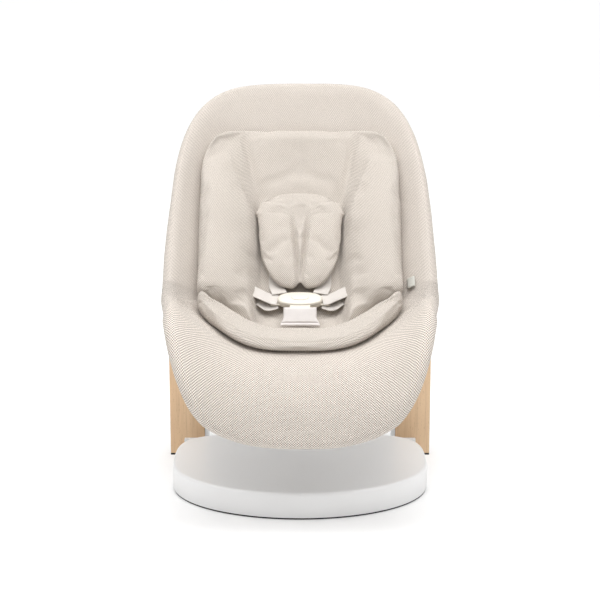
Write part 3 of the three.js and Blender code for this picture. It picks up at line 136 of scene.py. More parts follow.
# ------------------------------------------------------------------ the seat's shape
def walk_profile(along):
    """Place (y, z) and heading of points along the side profile, before it is hung on the pivot."""
    left = np.maximum(np.asarray(along, float), 0.0)
    past_foot = np.minimum(np.asarray(along, float), 0.0)
    y = past_foot * math.cos(NOSE_HEADING)
    z = past_foot * math.sin(NOSE_HEADING)
    heading = np.full_like(left, NOSE_HEADING)
    start = NOSE_HEADING
    for kind, size, target in PROFILE:
        length = size if kind == "line" else size * abs(target - start)
        is_last = (kind, size, target) == PROFILE[-1]
        step = left if is_last else np.minimum(left, length)
        if kind == "line":
            y = y + step * math.cos(start)
            z = z + step * math.sin(start)
        else:
            turn = math.copysign(1.0, target - start)
            end = start + turn * step / size
            y = y + turn * size * (np.sin(end) - math.sin(start))
            z = z - turn * size * (np.cos(end) - math.cos(start))
            heading = np.where(step > 0, end, heading)
            start = target
        left = left - step
        if kind == "line":
            heading = np.where(step > 0, start, heading)
    return y, z, heading


def profile_lengths():
    start = NOSE_HEADING
    lengths = []
    for kind, size, target in PROFILE:
        lengths.append(size if kind == "line" else size * abs(target - start))
        start = start if target is None else target
    return lengths


BACK_START = sum(profile_lengths()[:-1])
PROFILE_LENGTH = sum(profile_lengths())
UNDER_PIVOT_Y, UNDER_PIVOT_Z, _ = walk_profile(BACK_START + PIVOT_ALONG_BACK)
PROFILE_Y = PIVOT[1] - PIVOT_TO_BACK * math.sin(BACK_HEADING) - float(UNDER_PIVOT_Y)
PROFILE_Z = PIVOT[2] + PIVOT_TO_BACK * math.cos(BACK_HEADING) - float(UNDER_PIVOT_Z)


def bent(x, along, above):
    """Points of the flat drawing space, carried onto the seat: an array of (n, 3)."""
    y, z, heading = walk_profile(along)
    out_y = PROFILE_Y + y - above * np.sin(heading)
    out_z = PROFILE_Z + z + above * np.cos(heading)
    return np.stack([x + 0 * y, out_y, out_z], axis=-1)


def seat_point(x, along, above):
    """One point of the flat drawing space, carried onto the seat."""
    return bent(np.array([x]), np.array([along]), np.atleast_1d(above))[0]


def plan_of(centre, to_head, to_foot, half_width, head_power, foot_power):
    return {"centre": centre, "to_head": to_head, "to_foot": to_foot, "half_width": half_width,
            "head_power": head_power, "foot_power": foot_power}


SHELL_PLAN = plan_of(SHELL_CENTRE, PROFILE_LENGTH - SHELL_CENTRE, SHELL_CENTRE + FOOT_OVERHANG,
                     SHELL_HALF_WIDTH, HEAD_POWER, FOOT_POWER)


def plan_reach(plan, angle):
    """Distance from the plan's centre to its outline; angle 0 is towards the head."""
    across, along = np.abs(np.sin(angle)), np.abs(np.cos(angle))
    headward = np.cos(angle) > 0
    reach = np.where(headward, plan["to_head"], plan["to_foot"])
    power = np.where(headward, plan["head_power"], plan["foot_power"])
    return ((across / plan["half_width"]) ** power + (along / reach) ** power) ** (-1 / power)


def bowl(x, y):
    """Height of the shell's inner face above the side profile."""
    headward = y > SHELL_CENTRE
    power = np.where(headward, HEAD_POWER, FOOT_POWER)
    reach = np.where(headward, SHELL_PLAN["to_head"], SHELL_PLAN["to_foot"])
    side = (np.abs(x) / SHELL_HALF_WIDTH) ** power
    end = (np.abs(y - SHELL_CENTRE) / reach) ** power
    total = np.maximum(side + end, 1e-12)
    share = side / total
    rise = np.where(headward, HEAD_RISE, FOOT_RISE)
    return (share * SIDE_RISE + (1 - share) * rise) * total ** (BOWL_POWER / power)


def seam_at(x):
    edge = np.minimum(np.abs(x) / SHELL_HALF_WIDTH, 1.0)
    return SEAM_EDGE + SEAM_RISE * (1 - edge ** SEAM_POWER) ** 0.8


def on_side(side, name):
    return ("left_" if side < 0 else "right_") + name


def both(name):
    return on_side(-1, name), on_side(1, name)


def smoothstep(value, low, high):
    t = np.clip((value - low) / (high - low), 0, 1)
    return t * t * (3 - 2 * t)


def crowded(places, share):
    """Moves places from -1 to 1 closer together towards both ends."""
    return places * (1 + share - share * places * places)


def ripples(points, scale, seed):
    """Smooth noise from -1 to 1 at each point."""
    offset = Vector((seed * 7.3, seed * 3.1, seed * 5.7))
    return np.array([noise.noise(Vector(point) * scale + offset) for point in points])


# ------------------------------------------------------------------ mesh helpers
def make_mesh(name, points, faces, uv=None):
    mesh = bpy.data.meshes.new(name)
    places = [tuple(map(float, point)) for point in points]
    mesh.from_pydata(places, [], [tuple(map(int, face)) for face in faces])
    if uv is not None:
        layer = mesh.uv_layers.new(name=UV_NAME)
        loops = np.zeros(len(mesh.loops), int)
        mesh.loops.foreach_get("vertex_index", loops)
        layer.data.foreach_set("uv", np.asarray(uv, np.float32)[loops].ravel())
    mesh.validate()
    mesh.update()
    for polygon in mesh.polygons:
        polygon.use_smooth = True
    piece = bpy.data.objects.new(name, mesh)
    bpy.context.scene.collection.objects.link(piece)
    return piece


def grid_faces(rows, columns, closed=False, start=0):
    """Quads of a grid of points, row by row; closed joins the last column to the first."""
    faces = []
    for row in range(rows - 1):
        for column in range(columns if closed else columns - 1):
            following = (column + 1) % columns
            a, b = start + row * columns + column, start + row * columns + following
            faces.append((a, b, b + columns, a + columns))
    return faces


def two_sided(rows, columns, border):
    """Faces of a closed pad over a grid: a top, and an underside that shares the border's points.
    Returns the faces and the grid's points that the underside doubles."""
    inside = np.flatnonzero(~border)
    lower_index = np.arange(rows * columns)
    lower_index[inside] = rows * columns + np.arange(len(inside))
    faces = grid_faces(rows, columns)
    faces += [tuple(int(lower_index[corner]) for corner in face[::-1]) for face in faces]
    return faces, inside


def tube_faces(rows, size):
    """Faces of a tube through rows of size points, with a flat cap at each end."""
    last = (rows - 1) * size
    caps = [tuple(range(size)), tuple(range(last + size - 1, last - 1, -1))]
    return [face[::-1] for face in grid_faces(rows, size, closed=True)] + caps


def run_lengths(path):
    """Distance along a path to each of its points."""
    return np.concatenate([[0], np.cumsum(np.linalg.norm(np.diff(path, axis=0), axis=1))])


def apply_modifiers(piece):
    """Replaces the mesh by its modified one."""
    graph = bpy.context.evaluated_depsgraph_get()
    mesh = bpy.data.meshes.new_from_object(piece.evaluated_get(graph))
    old = piece.data
    piece.modifiers.clear()
    piece.data = mesh
    bpy.data.meshes.remove(old)
    return piece


def coordinates(piece):
    flat = np.zeros(len(piece.data.vertices) * 3, np.float32)
    piece.data.vertices.foreach_get("co", flat)
    return flat.reshape(-1, 3).astype(float)


def set_coordinates(piece, points):
    piece.data.vertices.foreach_set("co", np.asarray(points, np.float32).ravel())
    piece.data.update()


def clip_faces(points, uv, faces, value):
    """Keeps what lies where value is positive, and cuts the faces that cross zero."""
    points, uv = [tuple(point) for point in points], [tuple(pair) for pair in uv]
    cuts, kept = {}, []

    def crossing(a, b):
        key = (min(a, b), max(a, b))
        if key not in cuts:
            share = value[a] / (value[a] - value[b])
            cuts[key] = len(points)
            points.append(tuple(p + (q - p) * share for p, q in zip(points[a], points[b])))
            uv.append(tuple(p + (q - p) * share for p, q in zip(uv[a], uv[b])))
        return cuts[key]

    for face in faces:
        outline = []
        for a, b in zip(face, face[1:] + face[:1]):
            if value[a] > 0:
                outline.append(a)
            if (value[a] > 0) != (value[b] > 0):
                outline.append(crossing(a, b))
        if len(outline) >= 3:
            kept.append(tuple(outline))
    used = sorted({index for face in kept for index in face})
    place = {index: number for number, index in enumerate(used)}
    return (np.array([points[index] for index in used]), np.array([uv[index] for index in used]),
            [tuple(place[index] for index in face) for face in kept])


def add_bevel(piece, width, segments=3, angle=30):
    """Welds a CAD mesh's split vertices and rounds its edges."""
    weld = piece.modifiers.new("Weld", "WELD")
    weld.merge_threshold = 1e-5
    bevel = piece.modifiers.new("Rounded edges", "BEVEL")
    bevel.width = width
    bevel.segments = segments
    bevel.limit_method = "ANGLE"
    bevel.angle_limit = math.radians(angle)
    bevel.harden_normals = False
    normals = piece.modifiers.new("Normals", "WEIGHTED_NORMAL")
    normals.keep_sharp = False
    for polygon in piece.data.polygons:
        polygon.use_smooth = True
    return piece


def give_material(piece, material):
    piece.data.materials.clear()
    piece.data.materials.append(material)
    return piece


def place_piece(piece, material, body, slot, *nodes):
    """Finishes a new piece: its material, the body that it rides on and the CAD nodes that it stands for."""
    give_material(piece, material)
    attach(piece, body)
    if nodes:
        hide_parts(*nodes)
    return piece


# ------------------------------------------------------------------ materials
class Nodes:
    """Adds shader nodes to one material and links them."""

    def __init__(self, name):
        self.material = bpy.data.materials.new(name)
        self.material.use_nodes = True
        self.tree = self.material.node_tree
        self.shader = self.tree.nodes["Principled BSDF"]

    def add(self, kind, values=None, **settings):
        node = self.tree.nodes.new(kind)
        for key, value in settings.items():
            setattr(node, key, value)
        for key, value in (values or {}).items():
            self.put(node, key, value)
        return node

    def put(self, node, key, value):
        socket = node.inputs[key]
        if isinstance(value, bpy.types.NodeSocket):
            self.tree.links.new(value, socket)
        else:
            socket.default_value = value

    def shade(self, **values):
        for key, value in values.items():
            self.put(self.shader, key.replace("_", " "), value)

    def math(self, operation, *values, clamp=False):
        node = self.add("ShaderNodeMath", operation=operation, use_clamp=clamp)
        for index, value in enumerate(values):
            self.put(node, index, value)
        return node.outputs[0]

    def mix(self, factor, first, second):
        node = self.add("ShaderNodeMix", data_type="RGBA")
        self.put(node, 0, factor)
        self.put(node, 6, first)
        self.put(node, 7, second)
        return node.outputs[2]

    def span(self, value, low, high, out_low=0.0, out_high=1.0, smooth=True):
        node = self.add("ShaderNodeMapRange", interpolation_type="SMOOTHSTEP" if smooth else "LINEAR")
        for index, number in enumerate((value, low, high, out_low, out_high)):
            self.put(node, index, number)
        return node.outputs[0]

    def object_place(self):
        return self.add("ShaderNodeTexCoord").outputs["Object"]

    def uv_place(self):
        return self.add("ShaderNodeUVMap", uv_map=UV_NAME).outputs[0]

    def scaled(self, place, scale, offset=(0, 0, 0)):
        node = self.add("ShaderNodeMapping")
        self.put(node, "Vector", place)
        node.inputs["Scale"].default_value = scale
        node.inputs["Location"].default_value = offset
        return node.outputs[0]

    def parts(self, vector):
        node = self.add("ShaderNodeSeparateXYZ")
        self.put(node, 0, vector)
        return node.outputs

    def noise(self, place, scale, detail=3.0, roughness=0.5):
        node = self.add("ShaderNodeTexNoise")
        self.put(node, "Vector", place)
        node.inputs["Scale"].default_value = scale
        node.inputs["Detail"].default_value = detail
        node.inputs["Roughness"].default_value = roughness
        return node.outputs[0]

    def bump(self, height, strength, distance):
        node = self.add("ShaderNodeBump")
        node.inputs["Strength"].default_value = strength
        node.inputs["Distance"].default_value = distance
        self.put(node, "Height", height)
        self.put(self.shader, "Normal", node.outputs[0])


def rgba(color, factor=1.0):
    """A colour made lighter or darker by a factor."""
    return tuple(min(1.0, channel * factor) for channel in color) + (1.0,)


def lattice_distance(nodes, across, along, shift):
    """Distance, in pitches, to the nearest point of a square lattice."""
    parts = []
    for value in (across, along):
        moved = nodes.math("ADD", value, shift)
        parts.append(nodes.math("SUBTRACT", nodes.math("FRACT", moved), 0.5))
    squares = [nodes.math("MULTIPLY", part, part) for part in parts]
    return nodes.math("SQRT", nodes.math("ADD", *squares))


def knit(name, looks, pitch, yarn, hole, hole_shade_strength):
    """Spacer knit: rows of small holes in a staggered lattice, with yarn between them. The holes are painted
    dark, as painted shade for the shade inside them.
    """
    nodes = Nodes(name)
    place = nodes.uv_place()
    wobble = nodes.noise(place, 90.0, 2.0)
    across, along, _ = nodes.parts(place)
    drift = nodes.math("MULTIPLY", nodes.math("SUBTRACT", wobble, 0.5), 0.35)
    a = nodes.math("ADD", nodes.math("DIVIDE", across, pitch), drift)
    b = nodes.math("ADD", nodes.math("DIVIDE", along, pitch * looks.row_share), drift)
    distance = nodes.math("MINIMUM", lattice_distance(nodes, a, b, 0.0), lattice_distance(nodes, a, b, 0.5))
    holes = nodes.span(distance, 0.38, 0.17)
    fibres = nodes.noise(nodes.scaled(place, (1.0, 0.35, 1.0)), 2600.0, 2.0, 0.6)
    broad = nodes.noise(place, 14.0, 3.0)
    tone = nodes.mix(nodes.span(broad, 0.3, 0.7), rgba(yarn, 0.955), rgba(yarn))
    fibred = nodes.mix(nodes.span(fibres, 0.35, 0.7), tone, rgba(yarn, 1.05))
    strength = nodes.math("MULTIPLY", holes, nodes.span(fibres, 0.2, 0.8, 0.75 * hole_shade_strength, hole_shade_strength))
    # painted shade: the holes are mixed towards the dark hole colour
    nodes.shade(Base_Color=nodes.mix(strength, fibred, rgba(hole)))
    nodes.shade(Roughness=nodes.span(fibres, 0.2, 0.8, 0.86, 0.98), Specular_IOR_Level=0.2)
    nodes.shade(Sheen_Weight=looks.sheen, Sheen_Roughness=0.5)
    height = nodes.math("ADD", nodes.math("MULTIPLY", holes, -1.0), nodes.math("MULTIPLY", fibres, 0.35))
    nodes.bump(height, looks.relief, 0.0009)
    return nodes.material


def woven_tape(name, color, rib):
    """Webbing: fine ribs across its width and a flat border along each edge."""
    nodes = Nodes(name)
    place = nodes.uv_place()
    across, along, _ = nodes.parts(place)
    ribs = nodes.math("SINE", nodes.math("MULTIPLY", along, 2 * math.pi / rib))
    warp = nodes.math("SINE", nodes.math("MULTIPLY", across, 2 * math.pi / (0.6 * rib)))
    weave = nodes.math("MULTIPLY", ribs, warp)
    fibres = nodes.noise(place, 2400.0, 2.0, 0.6)
    shade = nodes.span(nodes.math("ADD", weave, nodes.math("MULTIPLY", fibres, 0.8)), -0.8, 1.4)
    nodes.shade(Base_Color=nodes.mix(shade, rgba(color, 0.86), rgba(color)))
    nodes.shade(Roughness=nodes.span(fibres, 0.2, 0.8, 0.7, 0.85), Sheen_Weight=0.15, Specular_IOR_Level=0.3)
    nodes.bump(weave, 0.5, 0.0004)
    return nodes.material


def plain_weave(name, color, thread):
    """Closely woven smooth cloth."""
    nodes = Nodes(name)
    place = nodes.uv_place()
    across, along, _ = nodes.parts(place)
    threads = [nodes.math("SINE", nodes.math("MULTIPLY", value, 2 * math.pi / thread))
               for value in (across, along)]
    weave = nodes.math("MULTIPLY", *threads)
    soft = nodes.noise(place, 60.0, 3.0)
    shade = nodes.span(nodes.math("ADD", nodes.math("MULTIPLY", weave, 0.3), soft), 0.1, 0.9)
    nodes.shade(Base_Color=nodes.mix(shade, rgba(color, 0.9), rgba(color)))
    nodes.shade(Roughness=nodes.span(weave, -1.0, 1.0, 0.72, 0.86), Sheen_Weight=0.2, Specular_IOR_Level=0.25)
    nodes.bump(weave, 0.35, 0.0003)
    return nodes.material


def moulded(name, color, roughness, grain=900.0, relief=0.12, coat=0.0):
    """Moulded plastic: a fine even texture and a slightly uneven gloss."""
    nodes = Nodes(name)
    place = nodes.object_place()
    fine = nodes.noise(place, grain, 2.0, 0.5)
    broad = nodes.noise(place, 6.0, 3.0)
    nodes.shade(Base_Color=nodes.mix(nodes.span(broad, 0.3, 0.7), rgba(color, 0.985),
                                     rgba(color)))
    nodes.shade(Roughness=nodes.span(fine, 0.3, 0.7, roughness - 0.04, roughness + 0.05))
    nodes.shade(Coat_Weight=coat, Coat_Roughness=0.15)
    nodes.bump(fine, relief, 0.0002)
    return nodes.material


def painted_metal(name, color):
    """Powder-coated steel: a soft orange-peel surface."""
    nodes = Nodes(name)
    place = nodes.object_place()
    peel = nodes.noise(place, 420.0, 2.0, 0.45)
    dust = nodes.noise(place, 30.0, 4.0, 0.6)
    nodes.shade(Base_Color=nodes.mix(nodes.span(dust, 0.35, 0.7), rgba(color, 0.97),
                                     rgba(color)))
    nodes.shade(Roughness=nodes.span(peel, 0.3, 0.7, 0.34, 0.46), Metallic=0.0, Coat_Weight=0.2)
    nodes.bump(peel, 0.18, 0.0003)
    return nodes.material


def machined_steel(name, color, roughness):
    """Turned or drawn steel with fine tool marks."""
    nodes = Nodes(name)
    place = nodes.object_place()
    marks = nodes.noise(nodes.scaled(place, (1.0, 0.06, 0.06)), 3200.0, 2.0, 0.6)
    stain = nodes.noise(place, 45.0, 4.0, 0.6)
    nodes.shade(Base_Color=nodes.mix(nodes.span(stain, 0.4, 0.7), rgba(color), rgba(color, 0.86)))
    nodes.shade(Roughness=nodes.span(marks, 0.3, 0.7, roughness, roughness + 0.16), Metallic=1.0)
    nodes.bump(marks, 0.2, 0.0002)
    return nodes.material


def rubber(name, color):
    nodes = Nodes(name)
    place = nodes.object_place()
    grain = nodes.noise(place, 1500.0, 2.0, 0.6)
    nodes.shade(Base_Color=nodes.mix(grain, rgba(color), rgba(color, 1.5)))
    nodes.shade(Roughness=nodes.span(grain, 0.3, 0.7, 0.72, 0.88), Specular_IOR_Level=0.3)
    nodes.bump(grain, 0.3, 0.0003)
    return nodes.material


def plywood(name, looks):
    """Beech plywood: flecked straight grain on its faces and stacked veneers on its edges."""
    nodes = Nodes(name)
    place = nodes.object_place()
    grain = nodes.noise(nodes.scaled(place, (1.0, 1.0, 0.03)), 420.0, 4.0, 0.6)
    bands = nodes.noise(nodes.scaled(place, (1.0, 1.0, 0.05)), 38.0, 2.0, 0.5)
    fleck = nodes.noise(nodes.scaled(place, (1.0, 1.0, 0.22)), 900.0, 1.0, 0.5)
    face = nodes.mix(nodes.span(bands, 0.25, 0.75), rgba(looks.light), rgba(looks.mid))
    face = nodes.mix(nodes.math("MULTIPLY", nodes.span(grain, 0.45, 0.8), 0.45), face, rgba(looks.dark))
    face = nodes.mix(nodes.math("MULTIPLY", nodes.span(fleck, 0.66, 0.74), 0.5), face, rgba(looks.dark))
    depth = nodes.parts(place)[1]
    layer = nodes.math("FRACT", nodes.math("DIVIDE", depth, 2 * looks.veneer))
    end_grain = nodes.noise(nodes.scaled(place, (1.0, 0.2, 1.0)), 1400.0, 2.0, 0.6)
    ply = nodes.math("GREATER_THAN", layer, 0.5)
    edge = nodes.mix(ply, rgba(looks.light), rgba(looks.dark, 0.72))
    edge = nodes.mix(nodes.math("MULTIPLY", end_grain, 0.4), edge, rgba(looks.dark))
    side = nodes.parts(nodes.add("ShaderNodeTexCoord").outputs["Normal"])[1]
    on_face = nodes.span(nodes.math("ABSOLUTE", side), 0.55, 0.8)
    nodes.shade(Base_Color=nodes.mix(on_face, edge, face))
    nodes.shade(Roughness=nodes.span(grain, 0.3, 0.7, 0.42, 0.56), Coat_Weight=0.12, Coat_Roughness=0.4)
    nodes.bump(nodes.math("ADD", grain, nodes.math("MULTIPLY", fleck, 0.3)), 0.12, 0.0003)
    return nodes.material


# ------------------------------------------------------------------ settings
class KnitLooks(PropertyGroup):
    upper_pitch: FloatProperty(name="Upper pitch", description="Distance between the upper cover's holes",
                               default=0.0034, min=0.001, max=0.01, subtype="DISTANCE")
    leg_pitch: FloatProperty(name="Leg pitch", description="Distance between the leg cover's holes",
                             default=0.0042, min=0.001, max=0.01, subtype="DISTANCE")
    insert_pitch: FloatProperty(name="Insert pitch", description="Distance between the insert's holes",
                                default=0.0034, min=0.001, max=0.01, subtype="DISTANCE")
    row_share: FloatProperty(name="Row share", description="Row spacing as a share of the pitch",
                             default=0.82, min=0.3, max=2.0)
    relief: FloatProperty(name="Relief", description="How strongly the knit stands out", default=0.7, min=0.0,
                          max=1.0)
    sheen: FloatProperty(name="Sheen", description="Soft light on the fibres", default=0.12, min=0.0, max=1.0)
    cream: FloatVectorProperty(name="Cream", description="Yarn of the insert", subtype="COLOR", size=3,
                               default=(0.80, 0.735, 0.665))
    shell_cream: FloatVectorProperty(name="Cover cream", description="Yarn of the two covers",
                                     subtype="COLOR", size=3, default=(0.86, 0.79, 0.72))
    hole: FloatVectorProperty(name="Hole", description="Shade inside the knit's holes", subtype="COLOR",
                              size=3, default=(0.15, 0.12, 0.095))


class PaddingSizes(PropertyGroup):
    rim: FloatProperty(name="Rim", description="How far the rim's padding stands out past the shell",
                       default=0.014, min=0.002, max=0.03, subtype="DISTANCE")
    bolster: FloatProperty(name="Bolster", description="Extra thickness of the insert's side bolsters",
                           default=0.032, min=0.0, max=0.06, subtype="DISTANCE")
    recess: FloatProperty(name="Recess", description="Thickness of the insert between its bolsters",
                          default=0.013, min=0.004, max=0.04, subtype="DISTANCE")
    roll: FloatProperty(name="Roll", description="Thickness of the insert's front roll", default=0.046,
                        min=0.01, max=0.08, subtype="DISTANCE")
    pad: FloatProperty(name="Pad", description="Thickness of the harness pad", default=0.020, min=0.005,
                       max=0.04, subtype="DISTANCE")
    pressure: FloatProperty(name="Pressure", default=3.0, min=0.0, max=20.0,
                            description="How hard the filling presses while the cloth settles")
    frames: IntProperty(name="Frames", description="How long the cloth settles", default=16, min=2, max=60)


class WoodLooks(PropertyGroup):
    veneer: FloatProperty(name="Veneer", description="Thickness of one plywood layer", default=0.0015,
                          min=0.0005, max=0.005, subtype="DISTANCE")
    light: FloatVectorProperty(name="Light", description="Light bands of the beech", subtype="COLOR", size=3,
                               default=(0.78, 0.555, 0.345))
    mid: FloatVectorProperty(name="Middle", description="Darker bands of the beech", subtype="COLOR", size=3,
                             default=(0.73, 0.50, 0.30))
    dark: FloatVectorProperty(name="Dark", description="Grain lines and flecks", subtype="COLOR", size=3,
                              default=(0.44, 0.265, 0.155))


class HardLooks(PropertyGroup):
    white: FloatVectorProperty(name="White", description="Base and moulded parts", subtype="COLOR", size=3,
                               default=(0.86, 0.857, 0.853))
    metal: FloatVectorProperty(name="White metal", description="Powder-coated parts", subtype="COLOR", size=3,
                               default=(0.77, 0.775, 0.78))
    cream: FloatVectorProperty(name="Buckle cream", description="Buckle and tongues", subtype="COLOR", size=3,
                               default=(0.66, 0.615, 0.535))
    steel: FloatVectorProperty(name="Steel", description="Springs, screws and the toothed ring",
                               subtype="COLOR", size=3, default=(0.52, 0.52, 0.53))
    tape: FloatVectorProperty(name="Webbing", description="Harness straps", subtype="COLOR", size=3,
                              default=(0.72, 0.675, 0.63))
    cloth: FloatVectorProperty(name="Smooth cloth", description="Crotch pad", subtype="COLOR", size=3,
                               default=(0.76, 0.72, 0.70))


class StageLooks(PropertyGroup):
    distance: FloatProperty(name="Distance", description="From the camera to the seat", default=2.5,
                            min=0.5, max=20.0, subtype="DISTANCE")
    elevation: FloatProperty(name="Elevation", description="Camera above the horizon",
                             default=math.radians(13.0), min=-1.5, max=1.5, subtype="ANGLE")
    aim_height: FloatProperty(name="Aim", description="Height that the camera looks at", default=0.330,
                              min=0.0, max=2.0, subtype="DISTANCE")
    lens: FloatProperty(name="Lens", description="Focal length in millimetres on a 36 mm sensor",
                        default=90.0, min=10.0, max=300.0)
    horizon: FloatProperty(name="Horizon", description="Light from near the horizon", default=0.12, min=0.0,
                           max=5.0)
    overhead: FloatProperty(name="Overhead", description="Light from overhead", default=3.0, min=0.0, max=5.0)
    light: FloatProperty(name="Lamps", description="Strength of all the lamps", default=1.0, min=0.0,
                         max=10.0)
    floor: FloatVectorProperty(name="Floor", description="Floor colour", subtype="COLOR", size=3,
                               default=(0.93, 0.93, 0.93))


def looks(context):
    return context.scene.bouncer_knit


def paddings(context):
    return context.scene.bouncer_padding


def insert_knit(context):
    settings = looks(context)
    return knit("Insert knit", settings, settings.insert_pitch, settings.cream, settings.hole, 0.85)


# ------------------------------------------------------------------ soft pieces
def square_to_plan(plan, u, v):
    """Carries the square from -1 to 1 onto a rounded plan outline."""
    power = np.where(v > 0, plan["head_power"], plan["foot_power"])
    reach = np.where(v > 0, plan["to_head"], plan["to_foot"])
    x = u * (1 - np.abs(v) ** power / 2) ** (1 / power)
    y = v * (1 - np.abs(u) ** power / 2) ** (1 / power)
    return plan["half_width"] * x, plan["centre"] + reach * y


def pillow(name, u_count, v_count, surface):
    """A closed pad over a grid: surface(u, v) gives the flat place, and the heights of its two sides.
    The border is shared. Returns the piece, its flat places and which points lie underneath."""
    us, vs = np.meshgrid(np.linspace(-1, 1, u_count), np.linspace(-1, 1, v_count))
    x, y, top, under = (part.ravel() for part in surface(us, vs))
    border = (np.abs(us.ravel()) > 0.9999) | (np.abs(vs.ravel()) > 0.9999)
    count = us.size
    faces, inside = two_sided(v_count, u_count, border)
    heights = np.concatenate([top, under[inside]])
    flat_x, flat_y = np.concatenate([x, x[inside]]), np.concatenate([y, y[inside]])
    points = bent(flat_x, flat_y, heights)
    upper = unrolled(points[:count].reshape(v_count, u_count, 3))
    piece = make_mesh(name, points, faces, np.concatenate([upper, upper[inside]]))
    return piece, flat_x, flat_y, np.arange(len(heights)) >= count


def unrolled(grid):
    """Distances over a grid of points, measured from its middle row and middle column."""
    rows, columns = grid.shape[:2]
    across = np.cumsum(np.linalg.norm(np.diff(grid, axis=1, prepend=grid[:, :1]), axis=2), axis=1)
    along = np.cumsum(np.linalg.norm(np.diff(grid, axis=0, prepend=grid[:1]), axis=2), axis=0)
    across -= across[:, columns // 2:columns // 2 + 1]
    along -= along[rows // 2:rows // 2 + 1]
    return np.stack([across, along], axis=-1).reshape(-1, 2)


def settle(piece, held, settings, limit, stiffness=12.0, pressure=None):
    """Lets a pad's cloth settle round its filling; held points stay where they are."""
    before = coordinates(piece)
    group = piece.vertex_groups.new(name="Sewn")
    for index, weight in enumerate(held):
        if weight > 0:
            group.add([index], float(weight), "REPLACE")
    cloth = piece.modifiers.new("Cloth", "CLOTH")
    cloth.settings.quality = 4
    cloth.settings.mass = 0.3
    cloth.settings.tension_stiffness = stiffness
    cloth.settings.compression_stiffness = stiffness
    cloth.settings.shear_stiffness = stiffness / 2
    cloth.settings.bending_stiffness = 0.6
    cloth.settings.use_pressure = True
    cloth.settings.uniform_pressure_force = settings.pressure if pressure is None else pressure
    cloth.settings.shrink_min = -0.02
    cloth.settings.vertex_group_mass = "Sewn"
    cloth.settings.pin_stiffness = 4.0
    cloth.settings.effector_weights.gravity = 0.0
    cloth.collision_settings.use_collision = False
    cloth.point_cache.frame_start = 1
    cloth.point_cache.frame_end = settings.frames
    scene = bpy.context.scene
    for number in range(1, settings.frames + 1):
        scene.frame_set(number)
    apply_modifiers(piece)
    scene.frame_set(1)
    move = coordinates(piece) - before
    length = np.maximum(np.linalg.norm(move, axis=1), 1e-9)
    set_coordinates(piece, before + move * (limit * np.tanh(length / limit) / length)[:, None])
    piece.vertex_groups.clear()
    return piece


def soften(piece, rounds, share=0.5):
    """Evens out a mesh's small bumps."""
    points = coordinates(piece)
    edges = np.array([edge.vertices[:] for edge in piece.data.edges])
    degree = np.maximum(np.bincount(edges.ravel(), minlength=len(points)), 1)[:, None]
    for _ in range(rounds):
        total = np.zeros_like(points)
        np.add.at(total, edges[:, 0], points[edges[:, 1]])
        np.add.at(total, edges[:, 1], points[edges[:, 0]])
        points = points + share * (total / degree - points)
    set_coordinates(piece, points)


def cut_slots(piece, slots, low, high):
    """Cuts the harness slots through a piece."""
    cutters = []
    for x, y, across in slots:
        half_x, half_y = (SLOT_LENGTH, SLOT_WIDTH) if across else (SLOT_WIDTH, SLOT_LENGTH)
        corners = [(x + i * half_x / 2, y + j * half_y / 2) for i, j in ((-1, -1), (1, -1), (1, 1), (-1, 1))]
        points = [seat_point(a, b, height) for height in (low, high) for a, b in corners]
        faces = [(3, 2, 1, 0), (4, 5, 6, 7)] + [(k, (k + 1) % 4, (k + 1) % 4 + 4, k + 4) for k in range(4)]
        cutters.append(make_mesh("Slot cutter", points, faces))
    for cutter in cutters:
        modifier = piece.modifiers.new("Slot", "BOOLEAN")
        modifier.operation = "DIFFERENCE"
        modifier.solver = "FAST"
        modifier.object = cutter
    apply_modifiers(piece)
    for cutter in cutters:
        bpy.data.objects.remove(cutter)
    return piece


# ------------------------------------------------------------------ covers
RING_STEPS = 288
TOP_SHARES = np.linspace(0.0, 1.0, 64)[1:] ** 0.9


def cover_rings(rim, swell):
    """Rings of the padded cover: (share of the plan, height above the shell's inner face, push outwards)."""
    rings = [(share, COVER_LIFT + swell, 0.0) for share in TOP_SHARES if share < 0.985]
    middle = COVER_LIFT / 2 - 0.006
    for degrees in range(84, -100, -12):
        turn = math.radians(degrees)
        lift = middle + (COVER_LIFT - middle + swell) * math.sin(turn) * (1.0 if degrees > 0 else 1.35)
        rings.append((1.0, lift, (rim + swell) * math.cos(turn) ** 0.85 if degrees > -90 else 0.0))
    for share in (0.985, 0.96, 0.93, 0.90, 0.87, 0.84, 0.81):
        drop = SHELL_WALL * (1 + 0.5 * share ** 4) + 0.012 * smoothstep(share, 0.78, 0.92)
        rings.append((share, -drop, 0.0))
    return rings


def cover_surface(rings):
    """Points, unrolled distances and faces of a cover, from the plan's centre out and round its rim."""
    angles = 2 * math.pi * np.arange(RING_STEPS) / RING_STEPS
    reach = plan_reach(SHELL_PLAN, angles)
    layers, flats = [], []
    for share, lift, push in rings:
        x, y = reach * share * np.sin(angles), SHELL_CENTRE + reach * share * np.cos(angles)
        out_x, out_y = x + push * np.sin(angles), y + push * np.cos(angles)
        layers.append(bent(out_x, out_y, bowl(x, y) + lift))
        flats.append(np.stack([out_x, out_y], axis=1))
    travelled = np.zeros(RING_STEPS) + np.linalg.norm(layers[0] - layers[0].mean(axis=0), axis=1)
    laid_out = []
    for number, layer in enumerate(layers):
        if number:
            travelled = travelled + np.linalg.norm(layer - layers[number - 1], axis=1)
        laid_out.append(np.stack([travelled * np.sin(angles), travelled * np.cos(angles)], axis=1))
    points, uv, flat = np.concatenate(layers), np.concatenate(laid_out), np.concatenate(flats)
    faces = [face[::-1] for face in grid_faces(len(rings), RING_STEPS, closed=True)]
    centre = len(points)
    points = np.vstack([points, bent(np.zeros(1), np.array([SHELL_CENTRE]), np.array([rings[0][1]]))])
    uv, flat = np.vstack([uv, [[0.0, 0.0]]]), np.vstack([flat, [[0.0, SHELL_CENTRE]]])
    faces += [(centre, step, (step + 1) % RING_STEPS)[::-1] for step in range(RING_STEPS)]
    return points, uv, flat, faces


